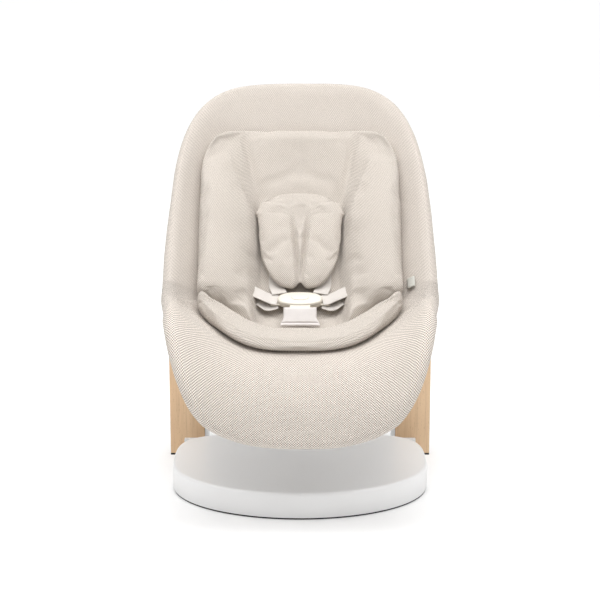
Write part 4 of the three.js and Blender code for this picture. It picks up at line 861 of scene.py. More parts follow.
def thicken(piece, thickness):
    modifier = piece.modifiers.new("Cloth thickness", "SOLIDIFY")
    modifier.thickness = thickness
    modifier.offset = -1.0
    modifier.use_rim = True
    return piece


def make_cover(name, node, settings, swell, side, gap, fabric, slot):
    """One of the two covers: side is 1 for the head's side of the seam and -1 for the foot's."""
    points, uv, flat, faces = cover_surface(cover_rings(settings.rim, swell))
    value = side * (flat[:, 1] - seam_at(flat[:, 0])) - gap
    points, uv, faces = clip_faces(points, uv, faces, value)
    piece = make_mesh(name, points, faces, uv)
    normals = np.array([vertex.normal[:] for vertex in piece.data.vertices])
    softness = 0.0011 * ripples(coordinates(piece), 11.0, 3) + 0.0004 * ripples(coordinates(piece), 34.0, 5)
    set_coordinates(piece, coordinates(piece) + normals * softness[:, None])
    thicken(piece, 0.003)
    apply_modifiers(piece)
    stand_for(piece, fabric, slot, node)
    return piece


# ------------------------------------------------------------------ newborn insert
INSERT_HEAD = 0.668
INSERT_FOOT = 0.125
INSERT_MIDDLE = (INSERT_HEAD + INSERT_FOOT) / 2
BACK_HEAD = 0.660
BACK_FOOT = 0.240
RECESS_HALF_WIDTH = 0.070
CREASE_SPREAD = 0.028
ROLL_PLAN = plan_of(INSERT_MIDDLE, INSERT_HEAD - INSERT_MIDDLE, INSERT_MIDDLE - INSERT_FOOT,
                    INSERT_HALF_WIDTH, 5.0, 4.0)


def insert_under(x, y):
    return bowl(x, y) + COVER_LIFT + SOFT_GAP


def crease_at(y):
    """Half the width of the recess between the bolsters."""
    return RECESS_HALF_WIDTH + CREASE_SPREAD * smoothstep(y, 0.465, 0.655)


def back_thickness(x, y, settings):
    """Thin in the middle, with bolsters whose inner edges spread out towards the head."""
    spread = smoothstep(y, 0.465, 0.655)
    crease = crease_at(y)
    width = 0.015 + 0.030 * spread
    fade = 1 - 0.60 * smoothstep(y, 0.46, 0.65)
    side = smoothstep(np.abs(x), crease - 0.25 * width, crease + width)
    head_roll = 0.010 * smoothstep(y, 0.59, 0.65)
    crown = 0.008 * np.sin(np.clip((np.abs(x) - crease) / 0.095, 0, 1) * math.pi)
    crown = crown - 0.007 * smoothstep(y, 0.330, 0.268) * side
    return settings.recess + settings.bolster * side * fade + head_roll + crown * fade


def build_insert_back(settings):
    plan = plan_of(0.405, BACK_HEAD - 0.405, 0.405 - BACK_FOOT, INSERT_HALF_WIDTH, 4.8, 9.0)

    def surface(us, vs):
        u, v = crowded(us, 0.3), crowded(vs, 0.3)
        x, y = square_to_plan(plan, u, v)
        foot_curve = roll_inner(x) - BACK_FOOT - 0.004
        y = y + foot_curve * (1 - smoothstep(y, BACK_FOOT, 0.43))
        x = x * (1 - 0.010 * smoothstep(y, 0.45, 0.34))
        rim = np.maximum(np.abs(u), np.abs(v))
        thickness = back_thickness(x, y, settings)
        middle = 0.42 * thickness
        full = np.sqrt(np.clip(1 - rim ** 14, 0, 1))
        base = insert_under(x, y)
        return x, y, base + middle + (thickness - middle) * full, base + middle * (1 - full)

    piece, x, y, under = pillow("insert_cushion", 97, 117, surface)
    sewn = np.exp(-((np.abs(x) - crease_at(y) + 0.004) / 0.0045) ** 2) * (1 - smoothstep(y, 0.50, 0.60))
    held = np.where(under, 1.0, np.clip(sewn, 0, 1))
    settle(piece, held, settings, 0.009)
    soften(piece, 1, 0.4)
    return piece


def roll_inner(x):
    """The line, across the seat, where the roll meets the insert's back."""
    return 0.201 + 0.076 * smoothstep(np.abs(x), 0.045, 0.135)


def build_insert_roll(settings):
    half_turn = math.radians(55)

    def surface(us, vs):
        angle = math.pi + us * half_turn
        reach = plan_reach(ROLL_PLAN, angle)
        outer = np.stack([reach * np.sin(angle), INSERT_MIDDLE + reach * np.cos(angle)])
        inner_x = -0.146 * np.sin(us * math.pi / 2)
        inner = np.stack([inner_x, roll_inner(inner_x)])
        across = crowded(vs, 0.25)
        end = np.sqrt(np.clip(1 - np.abs(us) ** 9, 0.06, 1))
        middle_line = (outer + inner) / 2
        flat = middle_line + (outer - inner) / 2 * across * (0.35 + 0.65 * end)
        fuller = 0.74 + 0.26 * smoothstep(np.abs(inner_x), 0.03, 0.13)
        thickness = settings.roll * (0.40 + 0.60 * end) * fuller
        middle = 0.36 * thickness
        full = np.sqrt(np.clip(1 - np.abs(across) ** 2.8, 0, 1))
        full = full * np.sqrt(np.clip(1 - np.abs(us) ** 40, 0, 1))
        ridge = 0.055 * np.exp(-((across - 0.905) / 0.016) ** 2)
        groove = 0.045 * np.exp(-((across - 0.865) / 0.018) ** 2)
        full = full + (ridge - groove) * (1 - np.abs(us) ** 6)
        base = insert_under(*flat)
        return flat[0], flat[1], base + middle + (thickness - middle) * full, base + middle * (1 - full)

    piece, _, _, under = pillow("front_roll", 121, 95, surface)
    piece.data.flip_normals()
    held = np.where(under, 1.0, 0.0)
    settle(piece, held, settings, 0.008)
    soften(piece, 1, 0.4)
    return piece


def round_wire(name, path, radius, rings):
    """Round wire along a run of points."""
    path = np.asarray(path)
    tangent = np.gradient(path, axis=0)
    tangent /= np.linalg.norm(tangent, axis=1)[:, None]
    side = np.cross(tangent, np.array([0.0, 0.0, 1.0]))
    side /= np.maximum(np.linalg.norm(side, axis=1), 1e-9)[:, None]
    up = np.cross(side, tangent)
    turns = 2 * math.pi * np.arange(rings) / rings
    points = path[:, None, :] + radius * (np.cos(turns)[None, :, None] * side[:, None, :]
                                          + np.sin(turns)[None, :, None] * up[:, None, :])
    length = run_lengths(path)
    uv = np.stack(np.broadcast_arrays(length[:, None], radius * turns[None, :]), axis=-1).reshape(-1, 2)
    return make_mesh(name, points.reshape(-1, 3), tube_faces(len(path), rings), uv)


# ------------------------------------------------------------------ harness
HARNESS_PLAN = plan_of(0.480, 0.047, 0.134, PAD_HALF_WIDTH, 2.6, 3.0)
BUCKLE_Y = 0.318
BUCKLE_LIFT = 0.046
BUCKLE_HEADING = float(walk_profile(np.array([BUCKLE_Y]))[2][0]) - math.radians(14)


def from_fold(x, y):
    """Distance across the harness pad from its two folds, which spread towards the head."""
    return np.abs(x) - 0.014 * np.clip((y - 0.352) / 0.135, 0, 1.05)


def build_harness_pad(settings):
    def surface(us, vs):
        u, v = crowded(us, 0.25), crowded(vs, 0.25)
        x, y = square_to_plan(HARNESS_PLAN, u, v)
        x = x * (1 - 0.95 * np.clip(0.484 - y, 0, 1))
        x = x + np.sign(x) * 0.003 * np.exp(-((y - 0.487) / 0.004) ** 2) * np.abs(u) ** 8
        y = y + 0.012 * np.exp(-(x / 0.007) ** 2) * smoothstep(v, 0.2, -1.0)
        rim = np.maximum(np.abs(u), np.abs(v))
        fold = np.exp(-(from_fold(x, y) / 0.0034) ** 2) * (1 - smoothstep(y, 0.440, 0.498))
        crest = 0.80 + 0.20 * np.cos(x / PAD_HALF_WIDTH * math.pi / 2)
        thickness = settings.pad * (1 - 0.55 * fold) * crest
        middle = 0.35 * settings.pad
        full = np.sqrt(np.clip(1 - rim ** 7, 0, 1))
        base = bowl(0 * x, y) + COVER_LIFT + SOFT_GAP + 0.022 + 0.006 * (x / PAD_HALF_WIDTH) ** 2
        return x, y, base + middle + (thickness - middle) * full, base + middle * (1 - full)

    piece, x, y, under = pillow("chest_pad", 73, 93, surface)
    sewn = np.exp(-(from_fold(x, y) / 0.003) ** 2) * (1 - smoothstep(y, 0.48, 0.50))
    settle(piece, np.where(under, 1.0, np.clip(sewn, 0, 1)), settings, 0.006)
    soften(piece, 1, 0.3)
    return piece


def on_buckle(x, y, z):
    """Points given in the buckle's own axes."""
    middle = seat_point(0.0, BUCKLE_Y, BUCKLE_LIFT)
    c, s = math.cos(BUCKLE_HEADING), math.sin(BUCKLE_HEADING)
    x, y, z = np.broadcast_arrays(np.asarray(x, float), np.asarray(y, float), np.asarray(z, float))
    return np.stack([x, middle[1] + y * c - z * s, middle[2] + y * s + z * c], axis=-1)


def spline(points, count):
    """Evenly spaced points on a smooth curve through the given ones."""
    given = np.array(points, float)
    padded = np.vstack([2 * given[0] - given[1], given, 2 * given[-1] - given[-2]])
    dense = []
    for index in range(len(given) - 1):
        p0, p1, p2, p3 = padded[index:index + 4]
        for t in np.linspace(0, 1, 24, endpoint=False):
            dense.append(0.5 * (2 * p1 + (p2 - p0) * t + (2 * p0 - 5 * p1 + 4 * p2 - p3) * t ** 2
                                + (3 * p1 - p0 - 3 * p2 + p3) * t ** 3))
    dense = np.array(dense + [given[-1]])
    travelled = run_lengths(dense)
    even = np.linspace(0, travelled[-1], count)
    return np.stack([np.interp(even, travelled, dense[:, axis]) for axis in range(3)], axis=1)


def tape(name, points, widthways, width=None, thickness=0.0018, count=90):
    """Flat webbing along a smooth path; widthways gives the direction of its width at each given point."""
    width = WEB_WIDTH if width is None else width
    path = spline(points, count)
    turns = np.array(widthways, float)
    if turns.ndim == 1:
        turns = np.repeat(turns[None, :], 2, axis=0)
    keys = np.linspace(0, 1, len(turns))
    at = np.linspace(0, 1, count)
    across = np.stack([np.interp(at, keys, turns[:, axis]) for axis in range(3)], axis=1)
    tangent = np.gradient(path, axis=0)
    tangent /= np.linalg.norm(tangent, axis=1)[:, None]
    across -= (across * tangent).sum(axis=1)[:, None] * tangent
    across /= np.linalg.norm(across, axis=1)[:, None]
    normal = np.cross(tangent, across)
    half, thick = width / 2, thickness / 2
    section = [(-half + 0.0006, -thick), (half - 0.0006, -thick), (half, -0.4 * thick), (half, 0.4 * thick),
               (half - 0.0006, thick), (half - 0.003, thick * 0.7), (-half + 0.003, thick * 0.7),
               (-half + 0.0006, thick), (-half, 0.4 * thick), (-half, -0.4 * thick)]
    rows = [path + across * a + normal * b for a, b in section]
    points = np.stack(rows, axis=1).reshape(-1, 3)
    length = run_lengths(path)
    uv = np.array([(a, length[row]) for row in range(count) for a, _ in section])
    return make_mesh(name, points, tube_faces(count, len(section)), uv)


# ------------------------------------------------------------------ hard pieces
def ring_solid(name, rings, first, last, flip=False):
    """A closed body through rings of equal length, from a first point to a last one."""
    count = len(rings[0])
    points = [first] + [point for ring in rings for point in ring] + [last]
    faces = grid_faces(len(rings), count, closed=True, start=1)
    faces += [(0, 1 + (k + 1) % count, 1 + k) for k in range(count)]
    end = len(points) - 1
    start = 1 + (len(rings) - 1) * count
    faces += [(end, start + k, start + (k + 1) % count) for k in range(count)]
    if flip:
        faces = [face[::-1] for face in faces]
    return make_mesh(name, points, faces)


def turned_piece(name, profile, steps=96):
    """A profile of (radius, x) points, closed on itself, turned about the pivot's axis."""
    turns = 2 * math.pi * np.arange(steps) / steps
    points = [(x, PIVOT[1] + radius * math.cos(turn), PIVOT[2] + radius * math.sin(turn))
              for radius, x in profile for turn in turns]
    count = len(profile)
    faces = []
    for row in range(count):
        for step in range(steps):
            a, b = row * steps + step, row * steps + (step + 1) % steps
            c, d = ((row + 1) % count) * steps + (step + 1) % steps, ((row + 1) % count) * steps + step
            faces.append((a, b, c, d))
    piece = make_mesh(name, points, faces)
    return face_outwards(piece)


def face_outwards(piece):
    mesh = bmesh.new()
    mesh.from_mesh(piece.data)
    bmesh.ops.recalc_face_normals(mesh, faces=mesh.faces[:])
    mesh.to_mesh(piece.data)
    mesh.free()
    for polygon in piece.data.polygons:
        polygon.use_smooth = True
    return piece


def chamfered(inner, outer, start, end, edge=0.0008):
    """Profile of a ring with its outer corners broken."""
    return [(inner, start), (outer - edge, start), (outer, start + edge), (outer, end - edge),
            (outer - edge, end), (inner, end)]


def crisp(piece, angle=35):
    """Keeps smooth shading only where faces meet gently."""
    piece.data.set_sharp_from_angle(angle=math.radians(angle))
    return piece


BASE_MIDDLE = (0.0, 0.008)         # where the base is widest
BASE_WALL = 0.003


def base_outline(inset, z, steps=256):
    angles = 2 * math.pi * np.arange(steps) / steps
    c, s = np.cos(angles), np.sin(angles)
    widest = BASE_MIDDLE[1]
    power = np.where(s < 0, 2.0, 4.5)
    reach = np.where(s < 0, widest - BASE_LOW.y, BASE_HIGH.y - widest) - inset
    half = BASE_HIGH.x - inset
    radius = ((np.abs(c) / half) ** power + (np.abs(s) / reach) ** power) ** (-1 / power)
    return np.stack([radius * c, widest + radius * s, np.full(steps, z)], axis=1)


def build_base():
    edge = 0.0055
    top, bottom = BASE_HIGH.z, BASE_LOW.z
    rings = [base_outline(inset, top) for inset in (0.10, 0.05, 0.02, 0.010)]
    for degrees in range(0, 91, 10):
        turn = math.radians(degrees)
        rings.append(base_outline(edge * (1 - math.sin(turn)), top - edge * (1 - math.cos(turn))))
    rings += [base_outline(0.0002, top - 0.02), base_outline(0.0006, bottom + 0.001),
              base_outline(0.0012, bottom), base_outline(BASE_WALL, bottom),
              base_outline(BASE_WALL, top - BASE_WALL)]
    piece = ring_solid("base_moulding", [list(map(tuple, ring)) for ring in rings], (*BASE_MIDDLE, top),
                       (*BASE_MIDDLE, top - BASE_WALL))
    return crisp(face_outwards(piece), 50)


def build_sole():
    low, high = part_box("rubber_sole")
    rings = [base_outline(0.002, high.z), base_outline(0.002, low.z + 0.0006), base_outline(0.0028, low.z)]
    piece = ring_solid("sole_sheet", [list(map(tuple, ring)) for ring in rings], (*BASE_MIDDLE, high.z),
                       (*BASE_MIDDLE, low.z))
    return crisp(face_outwards(piece), 30)


def build_board(side):
    """One upright: flat, with a big round on its outer top corner."""
    name = on_side(side, "board")
    low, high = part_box(name)
    inner, outer = (low.x, high.x) if side > 0 else (high.x, low.x)
    radius = 0.034
    outline = [(inner, low.z), (outer, low.z)]
    for degrees in range(0, 91, 5):
        turn = math.radians(degrees)
        outline.append((outer - side * radius * (1 - math.cos(turn)), high.z - radius * (1 - math.sin(turn))))
    outline.append((inner, high.z))
    points = [(x, y, z) for y in (low.y, high.y) for x, z in outline]
    count = len(outline)
    faces = [tuple(range(count)), tuple(range(2 * count - 1, count - 1, -1))]
    faces += [(k, (k + 1) % count, (k + 1) % count + count, k + count) for k in range(count)]
    piece = face_outwards(make_mesh(on_side(side, "upright"), points, faces))
    bevel = piece.modifiers.new("Eased edges", "BEVEL")
    bevel.width = 0.0012
    bevel.segments = 3
    bevel.limit_method = "ANGLE"
    bevel.angle_limit = math.radians(40)
    apply_modifiers(piece)
    return crisp(piece, 30)


def build_shell():
    """The moulded bucket under the covers, with its boss and the harness slots."""
    steps = 216
    angles = 2 * math.pi * np.arange(steps) / steps
    reach = plan_reach(SHELL_PLAN, angles)
    shares = np.linspace(0.04, 1.0, 34)

    def ring(share, drop, push=0.0):
        x, y = reach * share * np.sin(angles), SHELL_CENTRE + reach * share * np.cos(angles)
        grow = 1 + push / reach
        out_x, out_y = x * grow, SHELL_CENTRE + (y - SHELL_CENTRE) * grow
        return list(map(tuple, bent(out_x, out_y, bowl(x, y) - drop)))

    def wall(share):
        return SHELL_WALL * (1 + 0.5 * share ** 4)

    rings = [ring(share, 0.0) for share in shares]
    rings.append(ring(1.0, 0.5 * wall(1.0), 0.0006))
    rings += [ring(share, wall(share)) for share in shares[::-1]]
    middle = [tuple(seat_point(0.0, SHELL_CENTRE, height)) for height in (0.0, -SHELL_WALL)]
    piece = face_outwards(ring_solid("seat_bucket", rings, *middle))
    half_x, half_y, depth = 0.068, 0.044, 0.012
    along = BACK_START + PIVOT_ALONG_BACK
    boss = box_on_shell(half_x, half_y, along, -SHELL_WALL - depth, -0.5 * SHELL_WALL)
    modifier = piece.modifiers.new("Boss", "BOOLEAN")
    modifier.operation = "UNION"
    modifier.solver = "EXACT"
    modifier.object = boss
    apply_modifiers(piece)
    bpy.data.objects.remove(boss)
    cut_slots(piece, SLOTS, -0.04, 0.20)
    return crisp(piece, 35)


def box_on_shell(half_x, half_y, along, low, high, cells=8):
    """A block bent to the shell, from a depth below it up into its wall."""
    us, vs = np.meshgrid(np.linspace(-1, 1, cells + 1), np.linspace(-1, 1, cells + 1))
    x, y = (half_x * us).ravel(), (along + half_y * vs).ravel()
    top = bent(x, y, bowl(x, y) + high)
    bottom = bent(x, y, np.full_like(x, low))
    count = len(x)
    faces = grid_faces(cells + 1, cells + 1)
    faces += [tuple(index + count for index in face[::-1]) for face in grid_faces(cells + 1, cells + 1)]
    row = cells + 1
    border = [k for k in range(row)] + [row * k + cells for k in range(1, row)]
    border += [row * cells + k for k in range(cells - 1, -1, -1)]
    border += [row * k for k in range(cells - 1, 0, -1)]
    faces += [(b, a, a + count, b + count) for a, b in zip(border, border[1:] + border[:1])]
    return face_outwards(make_mesh("Boss", np.vstack([top, bottom]), faces))


TUBE_HOLE = 0.0153                  # radius of what the cross tube goes through
SPRING_WIRE = 0.002
SPRING_TURNS = 4


def build_cup(side):
    """The open cup round one spring, closed at its outer end."""
    low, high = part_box("right_spring_cup")
    outer, wall, hole, edge = (high.z - low.z) / 2, 0.003, TUBE_HOLE, 0.0012
    profile = [(hole, high.x - wall), (outer - wall, high.x - wall), (outer - wall, low.x + 0.0004),
               (outer - wall + 0.0004, low.x), (outer - 0.0004, low.x), (outer, low.x + 0.0004),
               (outer, high.x - edge), (outer - edge, high.x), (hole, high.x)]
    return turned_piece(on_side(side, "cup"), [(radius, side * x) for radius, x in profile])


def build_flange(side):
    """The collar that bolts the cross tube to a rail."""
    low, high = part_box("right_flange")
    outer, hole = (high.z - low.z) / 2, TUBE_HOLE
    plate = high.x - 0.009
    neck, edge = 0.020, 0.0005
    profile = [(hole, low.x), (neck - edge, low.x), (neck, low.x + edge), (neck, plate - 0.002),
               (neck + 0.0015, plate), (outer - 0.0008, plate), (outer, plate + 0.0008), (outer, high.x),
               (hole, high.x)]
    return turned_piece(on_side(side, "collar"), [(radius, side * x) for radius, x in profile])


def build_spring(side):
    """An open coil of round wire about the pivot."""
    low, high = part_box(on_side(side, "bounce_spring"))
    wire = SPRING_WIRE
    coil = (high.z - low.z) / 2 - wire
    per_turn = 40
    count = SPRING_TURNS * per_turn + 1
    angle = 2 * math.pi * np.arange(count) / per_turn
    x = np.linspace(low.x + wire, high.x - wire, count)
    path = np.stack([x, PIVOT[1] + coil * np.cos(angle), PIVOT[2] + side * coil * np.sin(angle)], axis=1)
    return face_outwards(round_wire(on_side(side, "coil_spring"), path, wire, 12))


def oval_rings(half_x, half_y, power, low, high, edge, steps=96):
    """Rings of a rounded oval block about the buckle's middle, from its top down to its underside."""
    angles = 2 * math.pi * np.arange(steps) / steps
    c, s = np.cos(angles), np.sin(angles)
    rings = []
    for upper in (True, False):
        turns = range(0, 91, 15) if upper else range(90, -1, -15)
        for degrees in turns:
            turn = math.radians(degrees)
            inset = edge * (1 - math.sin(turn))
            z = high - edge * (1 - math.cos(turn)) if upper else low + edge * (1 - math.cos(turn))
            across, along = np.abs(c) / (half_x - inset), np.abs(s) / (half_y - inset)
            radius = (across ** power + along ** power) ** (-1 / power)
            rings.append((radius * c, radius * s, z))
    return rings


def build_oval(name, half_x, half_y, power, low, high, edge, middle=(0.0, 0.0), crown=0.0):
    """A rounded oval block in the buckle's axes; crown lifts the middle of its top."""
    rings = oval_rings(half_x, half_y, power, low, high, edge)
    first_x, first_y, _ = rings[0]
    caps = [(first_x * share, first_y * share, high + crown * (1 - share ** 2))
            for share in (0.15, 0.4, 0.65, 0.85)]
    loops = [list(map(tuple, on_buckle(x + middle[0], y + middle[1], z))) for x, y, z in caps + rings]
    ends = [tuple(on_buckle(middle[0], middle[1], z).reshape(3)) for z in (high + crown, low)]
    return face_outwards(ring_solid(name, loops, *ends))


ANCHOR_GAP = 0.0005
ANCHOR_INSET = 0.0045


def at_anchor(x, y, inward):
    """A strap's start, on its anchor under the shell."""
    foot = bowl(np.array([max(abs(x) - inward, 0.0)]), np.array([y - inward]))
    return seat_point(x, y, foot - SHELL_WALL - ANCHOR_GAP)


def above_cover(x, y, height):
    return seat_point(x, y, insert_under(np.array([x]), np.array([y])) + height)


def build_shoulder_strap(prefix, side):
    x, along = SHOULDER_SLOT
    points = [at_anchor(side * x, along, ANCHOR_INSET), above_cover(side * x, along, 0.010),
              above_cover(side * x, 0.515, 0.020), above_cover(side * 0.036, 0.458, 0.018),
              above_cover(side * 0.040, 0.368, 0.019), on_buckle(side * 0.034, 0.014, 0.0030).reshape(3)]
    return tape(f"{prefix}_shoulder_webbing", points, [(1, 0, 0)])


def build_waist_strap(prefix, side):
    """The waist strap, and the end folded back under it and sewn down."""
    heading = BUCKLE_HEADING
    across = [(0, math.cos(heading), math.sin(heading))]
    x, along = WAIST_SLOT
    points = [at_anchor(side * x, along, ANCHOR_INSET), above_cover(side * 0.0930, 0.345, 0.012),
              above_cover(side * 0.0900, 0.343, 0.023), above_cover(side * 0.0800, 0.338, 0.0300),
              above_cover(side * 0.0640, 0.330, 0.0320), on_buckle(side * 0.050, 0.003, 0.0016).reshape(3),
              on_buckle(side * 0.0370, 0.0005, -0.0002).reshape(3)]
    strap = tape(f"{prefix}_waist_webbing", points, across)
    under = [above_cover(side * 0.0780, 0.324, 0.0185), above_cover(side * 0.068, 0.321, 0.0225),
             on_buckle(side * 0.054, -0.005, -0.0070).reshape(3),
             on_buckle(side * 0.038, -0.002, -0.0054).reshape(3)]
    fold = tape(f"{prefix}_waist_fold", under, across, count=40)
    return strap, fold


def crotch_path():
    return [at_anchor(*CROTCH_SLOT, 0.0), above_cover(*CROTCH_SLOT, 0.012), above_cover(0.0, 0.271, 0.019),
            on_buckle(0.0, -0.026, 0.0).reshape(3)]


def build_crotch_pad():
    """A thin padded sleeve over the crotch strap, wider at the foot, with a hem across it."""
    start = above_cover(0.0, 0.2475, 0.0165)
    end = on_buckle(0.0, -0.0245, 0.0055).reshape(3)
    rows, columns = 34, 46
    direction = end - start
    direction /= np.linalg.norm(direction)
    up = np.cross(np.array([1.0, 0.0, 0.0]), direction)
    us, vs = np.meshgrid(np.linspace(-1, 1, columns), np.linspace(0, 1, rows))
    half = 0.0325 * (1 - 0.16 * smoothstep(vs, 0.05, 0.5))
    hem = np.exp(-((vs - 0.17) / 0.035) ** 2)
    rim = np.maximum(np.abs(us), np.abs(2 * vs - 1))
    full = np.sqrt(np.clip(1 - rim ** 8, 0, 1))
    rise = 0.0022 + 0.0030 * full * (1 - 0.75 * hem) + 0.0010 * np.cos(us * math.pi / 2)
    spread = crowded(us, 0.12)
    top = (start + vs[..., None] * (end - start) + (half * spread)[..., None] * np.array([1.0, 0, 0])
           + rise[..., None] * up)
    bottom = top - (2 * 0.0018 * full + 0.0002)[..., None] * up
    faces, inside = two_sided(rows, columns, (rim > 0.9999).ravel())
    points = np.vstack([top.reshape(-1, 3), bottom.reshape(-1, 3)[inside]])
    flat = np.stack([half * spread, vs * np.linalg.norm(end - start)], axis=-1).reshape(-1, 2)
    return face_outwards(make_mesh("crotch_sleeve", points, faces, np.vstack([flat, flat[inside]])))


def build_tag():
    """A folded blank label, sewn into the insert's edge."""
    width, depth = 0.017, 0.018
    middle_x, y = 0.1845, 0.338
    loop = [(-0.5, 0.0), (-0.30, 0.10), (0.0, 0.13), (0.30, 0.12), (0.46, 0.07), (0.5, 0.0), (0.46, -0.05),
            (0.30, -0.07), (0.0, -0.05), (-0.30, -0.04)]
    under = float(insert_under(np.array([middle_x - width / 2]), np.array([y]))[0])
    start = above_cover(middle_x - width / 2, y, 0.006)
    outward = above_cover(middle_x + width / 2, y, 0.008) - start
    outward /= np.linalg.norm(outward)
    along = seat_point(middle_x, y + 0.01, under) - seat_point(middle_x, y - 0.01, under)
    along /= np.linalg.norm(along)
    up = np.cross(along, outward) * -1
    shares = np.linspace(-0.5, 0.5, 12)
    points = [start + outward * width * (a + 0.5) + up * width * b + along * depth * share
              for share in shares for a, b in loop]
    uv = np.array([(a * width, share * depth) for share in shares for a, _ in loop])
    return face_outwards(make_mesh("folded_tag", points, tube_faces(len(shares), len(loop)), uv))


# ------------------------------------------------------------------ operators
def fresh(*prefixes):
    """Raises if a piece is about to be made twice."""
    for prefix in prefixes:
        if any(item.name.startswith(prefix) for item in bpy.data.objects):
            raise RuntimeError(f"{prefix} is already in the scene")


def stand_for(piece, material, slot, *nodes):
    """A new piece takes the place of CAD nodes, and rides on the first one's body."""
    body = body_of(frame["nodes"][nodes[0]])[0]
    return place_piece(piece, material, body, slot, *nodes)


def along_with(piece, material, slot, body):
    """A new piece that adds detail and stands for no CAD node."""
    return place_piece(piece, material, body, slot)


def dress(material, width, *nodes, angle=30):
    """A CAD node keeps its shape and gets a material and rounded edges."""
    for name in nodes:
        node = frame["nodes"][name]
        give_material(node, material)
        if width:
            add_bevel(node, width, angle=angle)


LOW_SKY = 0.35


def light_dome(tree, settings):
    """Light from all round, brighter overhead than near the horizon and dimmer behind the seat.
    What is seen behind everything is plain white."""
    place = tree.nodes.new("ShaderNodeTexCoord")
    parts = tree.nodes.new("ShaderNodeSeparateXYZ")
    span = tree.nodes.new("ShaderNodeMapRange")
    span.inputs["From Min"].default_value = LOW_SKY
    span.inputs["To Min"].default_value = settings.horizon
    span.inputs["To Max"].default_value = settings.overhead
    background = tree.nodes["Background"]
    background.inputs["Color"].default_value = (1.0, 1.0, 1.0, 1.0)
    tree.links.new(place.outputs["Generated"], parts.inputs[0])
    tree.links.new(parts.outputs["Z"], span.inputs["Value"])
    behind = tree.nodes.new("ShaderNodeMapRange")
    behind.inputs["From Min"].default_value = -0.2
    behind.inputs["From Max"].default_value = 0.4
    behind.inputs["To Min"].default_value = 1.0
    behind.inputs["To Max"].default_value = 0.3
    dome = tree.nodes.new("ShaderNodeMath")
    dome.operation = "MULTIPLY"
    tree.links.new(parts.outputs["Y"], behind.inputs["Value"])
    tree.links.new(behind.outputs["Result"], dome.inputs[0])
    tree.links.new(span.outputs["Result"], dome.inputs[1])
    seen = tree.nodes.new("ShaderNodeLightPath")
    backdrop = tree.nodes.new("ShaderNodeMix")
    backdrop.inputs[3].default_value = 1.0
    tree.links.new(seen.outputs["Is Camera Ray"], backdrop.inputs[0])
    tree.links.new(dome.outputs[0], backdrop.inputs[2])
    tree.links.new(backdrop.outputs[0], background.inputs["Strength"])


STUDIO_LIGHTS = (
    ("Key", (0.0, -0.7, 3.0), (0.0, 0.0, 0.35), 1.9, 24.0),
    ("Left fill", (-2.0, -1.1, 2.7), (0.0, 0.0, 0.40), 1.6, 14.0),
    ("Right fill", (2.0, -1.1, 2.7), (0.0, 0.0, 0.40), 1.6, 12.5),
    ("Top", (0.2, 0.7, 3.2), (0.0, 0.0, 0.4), 1.6, 8.0),
)


class BOUNCER_OT_stage(Operator):
    """Add the camera, the floor and the soft studio light"""
    bl_idname = "bouncer.stage"
    bl_label = "Stage"

    def execute(self, context):
        fresh("Camera", "Floor")
        settings = context.scene.bouncer_stage
        camera = bpy.data.objects.new("Camera", bpy.data.cameras.new("Camera"))
        context.scene.collection.objects.link(camera)
        context.scene.camera = camera
        camera.data.sensor_width = 36.0
        camera.data.lens = settings.lens
        flat = settings.distance * math.cos(settings.elevation)
        camera.location = (0.0, -flat, settings.aim_height + settings.distance * math.sin(settings.elevation))
        camera.rotation_euler = (math.pi / 2 - settings.elevation, 0.0, 0.0)

        size = 30.0
        floor = make_mesh("Floor", [(-size, -size, 0), (size, -size, 0), (size, size, 0), (-size, size, 0)],
                          [(0, 1, 2, 3)])
        nodes = Nodes("Floor")
        nodes.shade(Base_Color=rgba(settings.floor), Roughness=0.9, Specular_IOR_Level=0.1)
        give_material(floor, nodes.material)

        world = bpy.data.worlds.new("Studio")
        world.use_nodes = True
        light_dome(world.node_tree, settings)
        context.scene.world = world
        for name, place, aim, size, power in STUDIO_LIGHTS:
            data = bpy.data.lights.new(name, "AREA")
            data.shape = "DISK"
            data.size = size
            data.energy = power * settings.light
            light = bpy.data.objects.new(name, data)
            context.scene.collection.objects.link(light)
            light.location = place
            light.rotation_euler = (Vector(aim) - Vector(place)).to_track_quat("-Z", "Y").to_euler()
        context.scene.view_settings.view_transform = "Standard"
        return {"FINISHED"}


class BOUNCER_OT_base(Operator):
    """Build the white base and its rubber sole"""
    bl_idname = "bouncer.base"
    bl_label = "Base"

    def execute(self, context):
        fresh("base_moulding")
        settings = context.scene.bouncer_hard
        white = moulded("White plastic", settings.white, 0.36)
        dark = rubber("Black rubber", (0.015, 0.015, 0.016))
        stand_for(build_base(), white, "white_plastic", "base_cover")
        stand_for(build_sole(), dark, "dark_rubber", "rubber_sole")
        dress(white, 0.0, "base_plate")
        iron = moulded("Ballast iron", (0.07, 0.07, 0.075), 0.7)
        dress(iron, 0.0, "ballast")
        return {"FINISHED"}


class BOUNCER_OT_uprights(Operator):
    """Build the plywood uprights and dress the steel rails behind them"""
    bl_idname = "bouncer.uprights"
    bl_label = "Uprights"

    def execute(self, context):
        fresh("left_upright")
        wood = plywood("Beech plywood", context.scene.bouncer_wood)
        for side, name in ((-1, "left_board"), (1, "right_board")):
            stand_for(build_board(side), wood, "beech", name)
        hard = context.scene.bouncer_hard
        dress(painted_metal("White metal", hard.metal), 0.0006, *both("rail"), "rear_crossbar")
        dress(rubber("Foot rubber", (0.02, 0.02, 0.021)), 0.0004, *both("foot_pad"))
        dress(machined_steel("Bright screws", hard.steel, 0.24), 0.0005,
              *both("board_screw_1"), *both("board_screw_2"), *both("foot_bolt"), *both("base_bolt"))
        return {"FINISHED"}


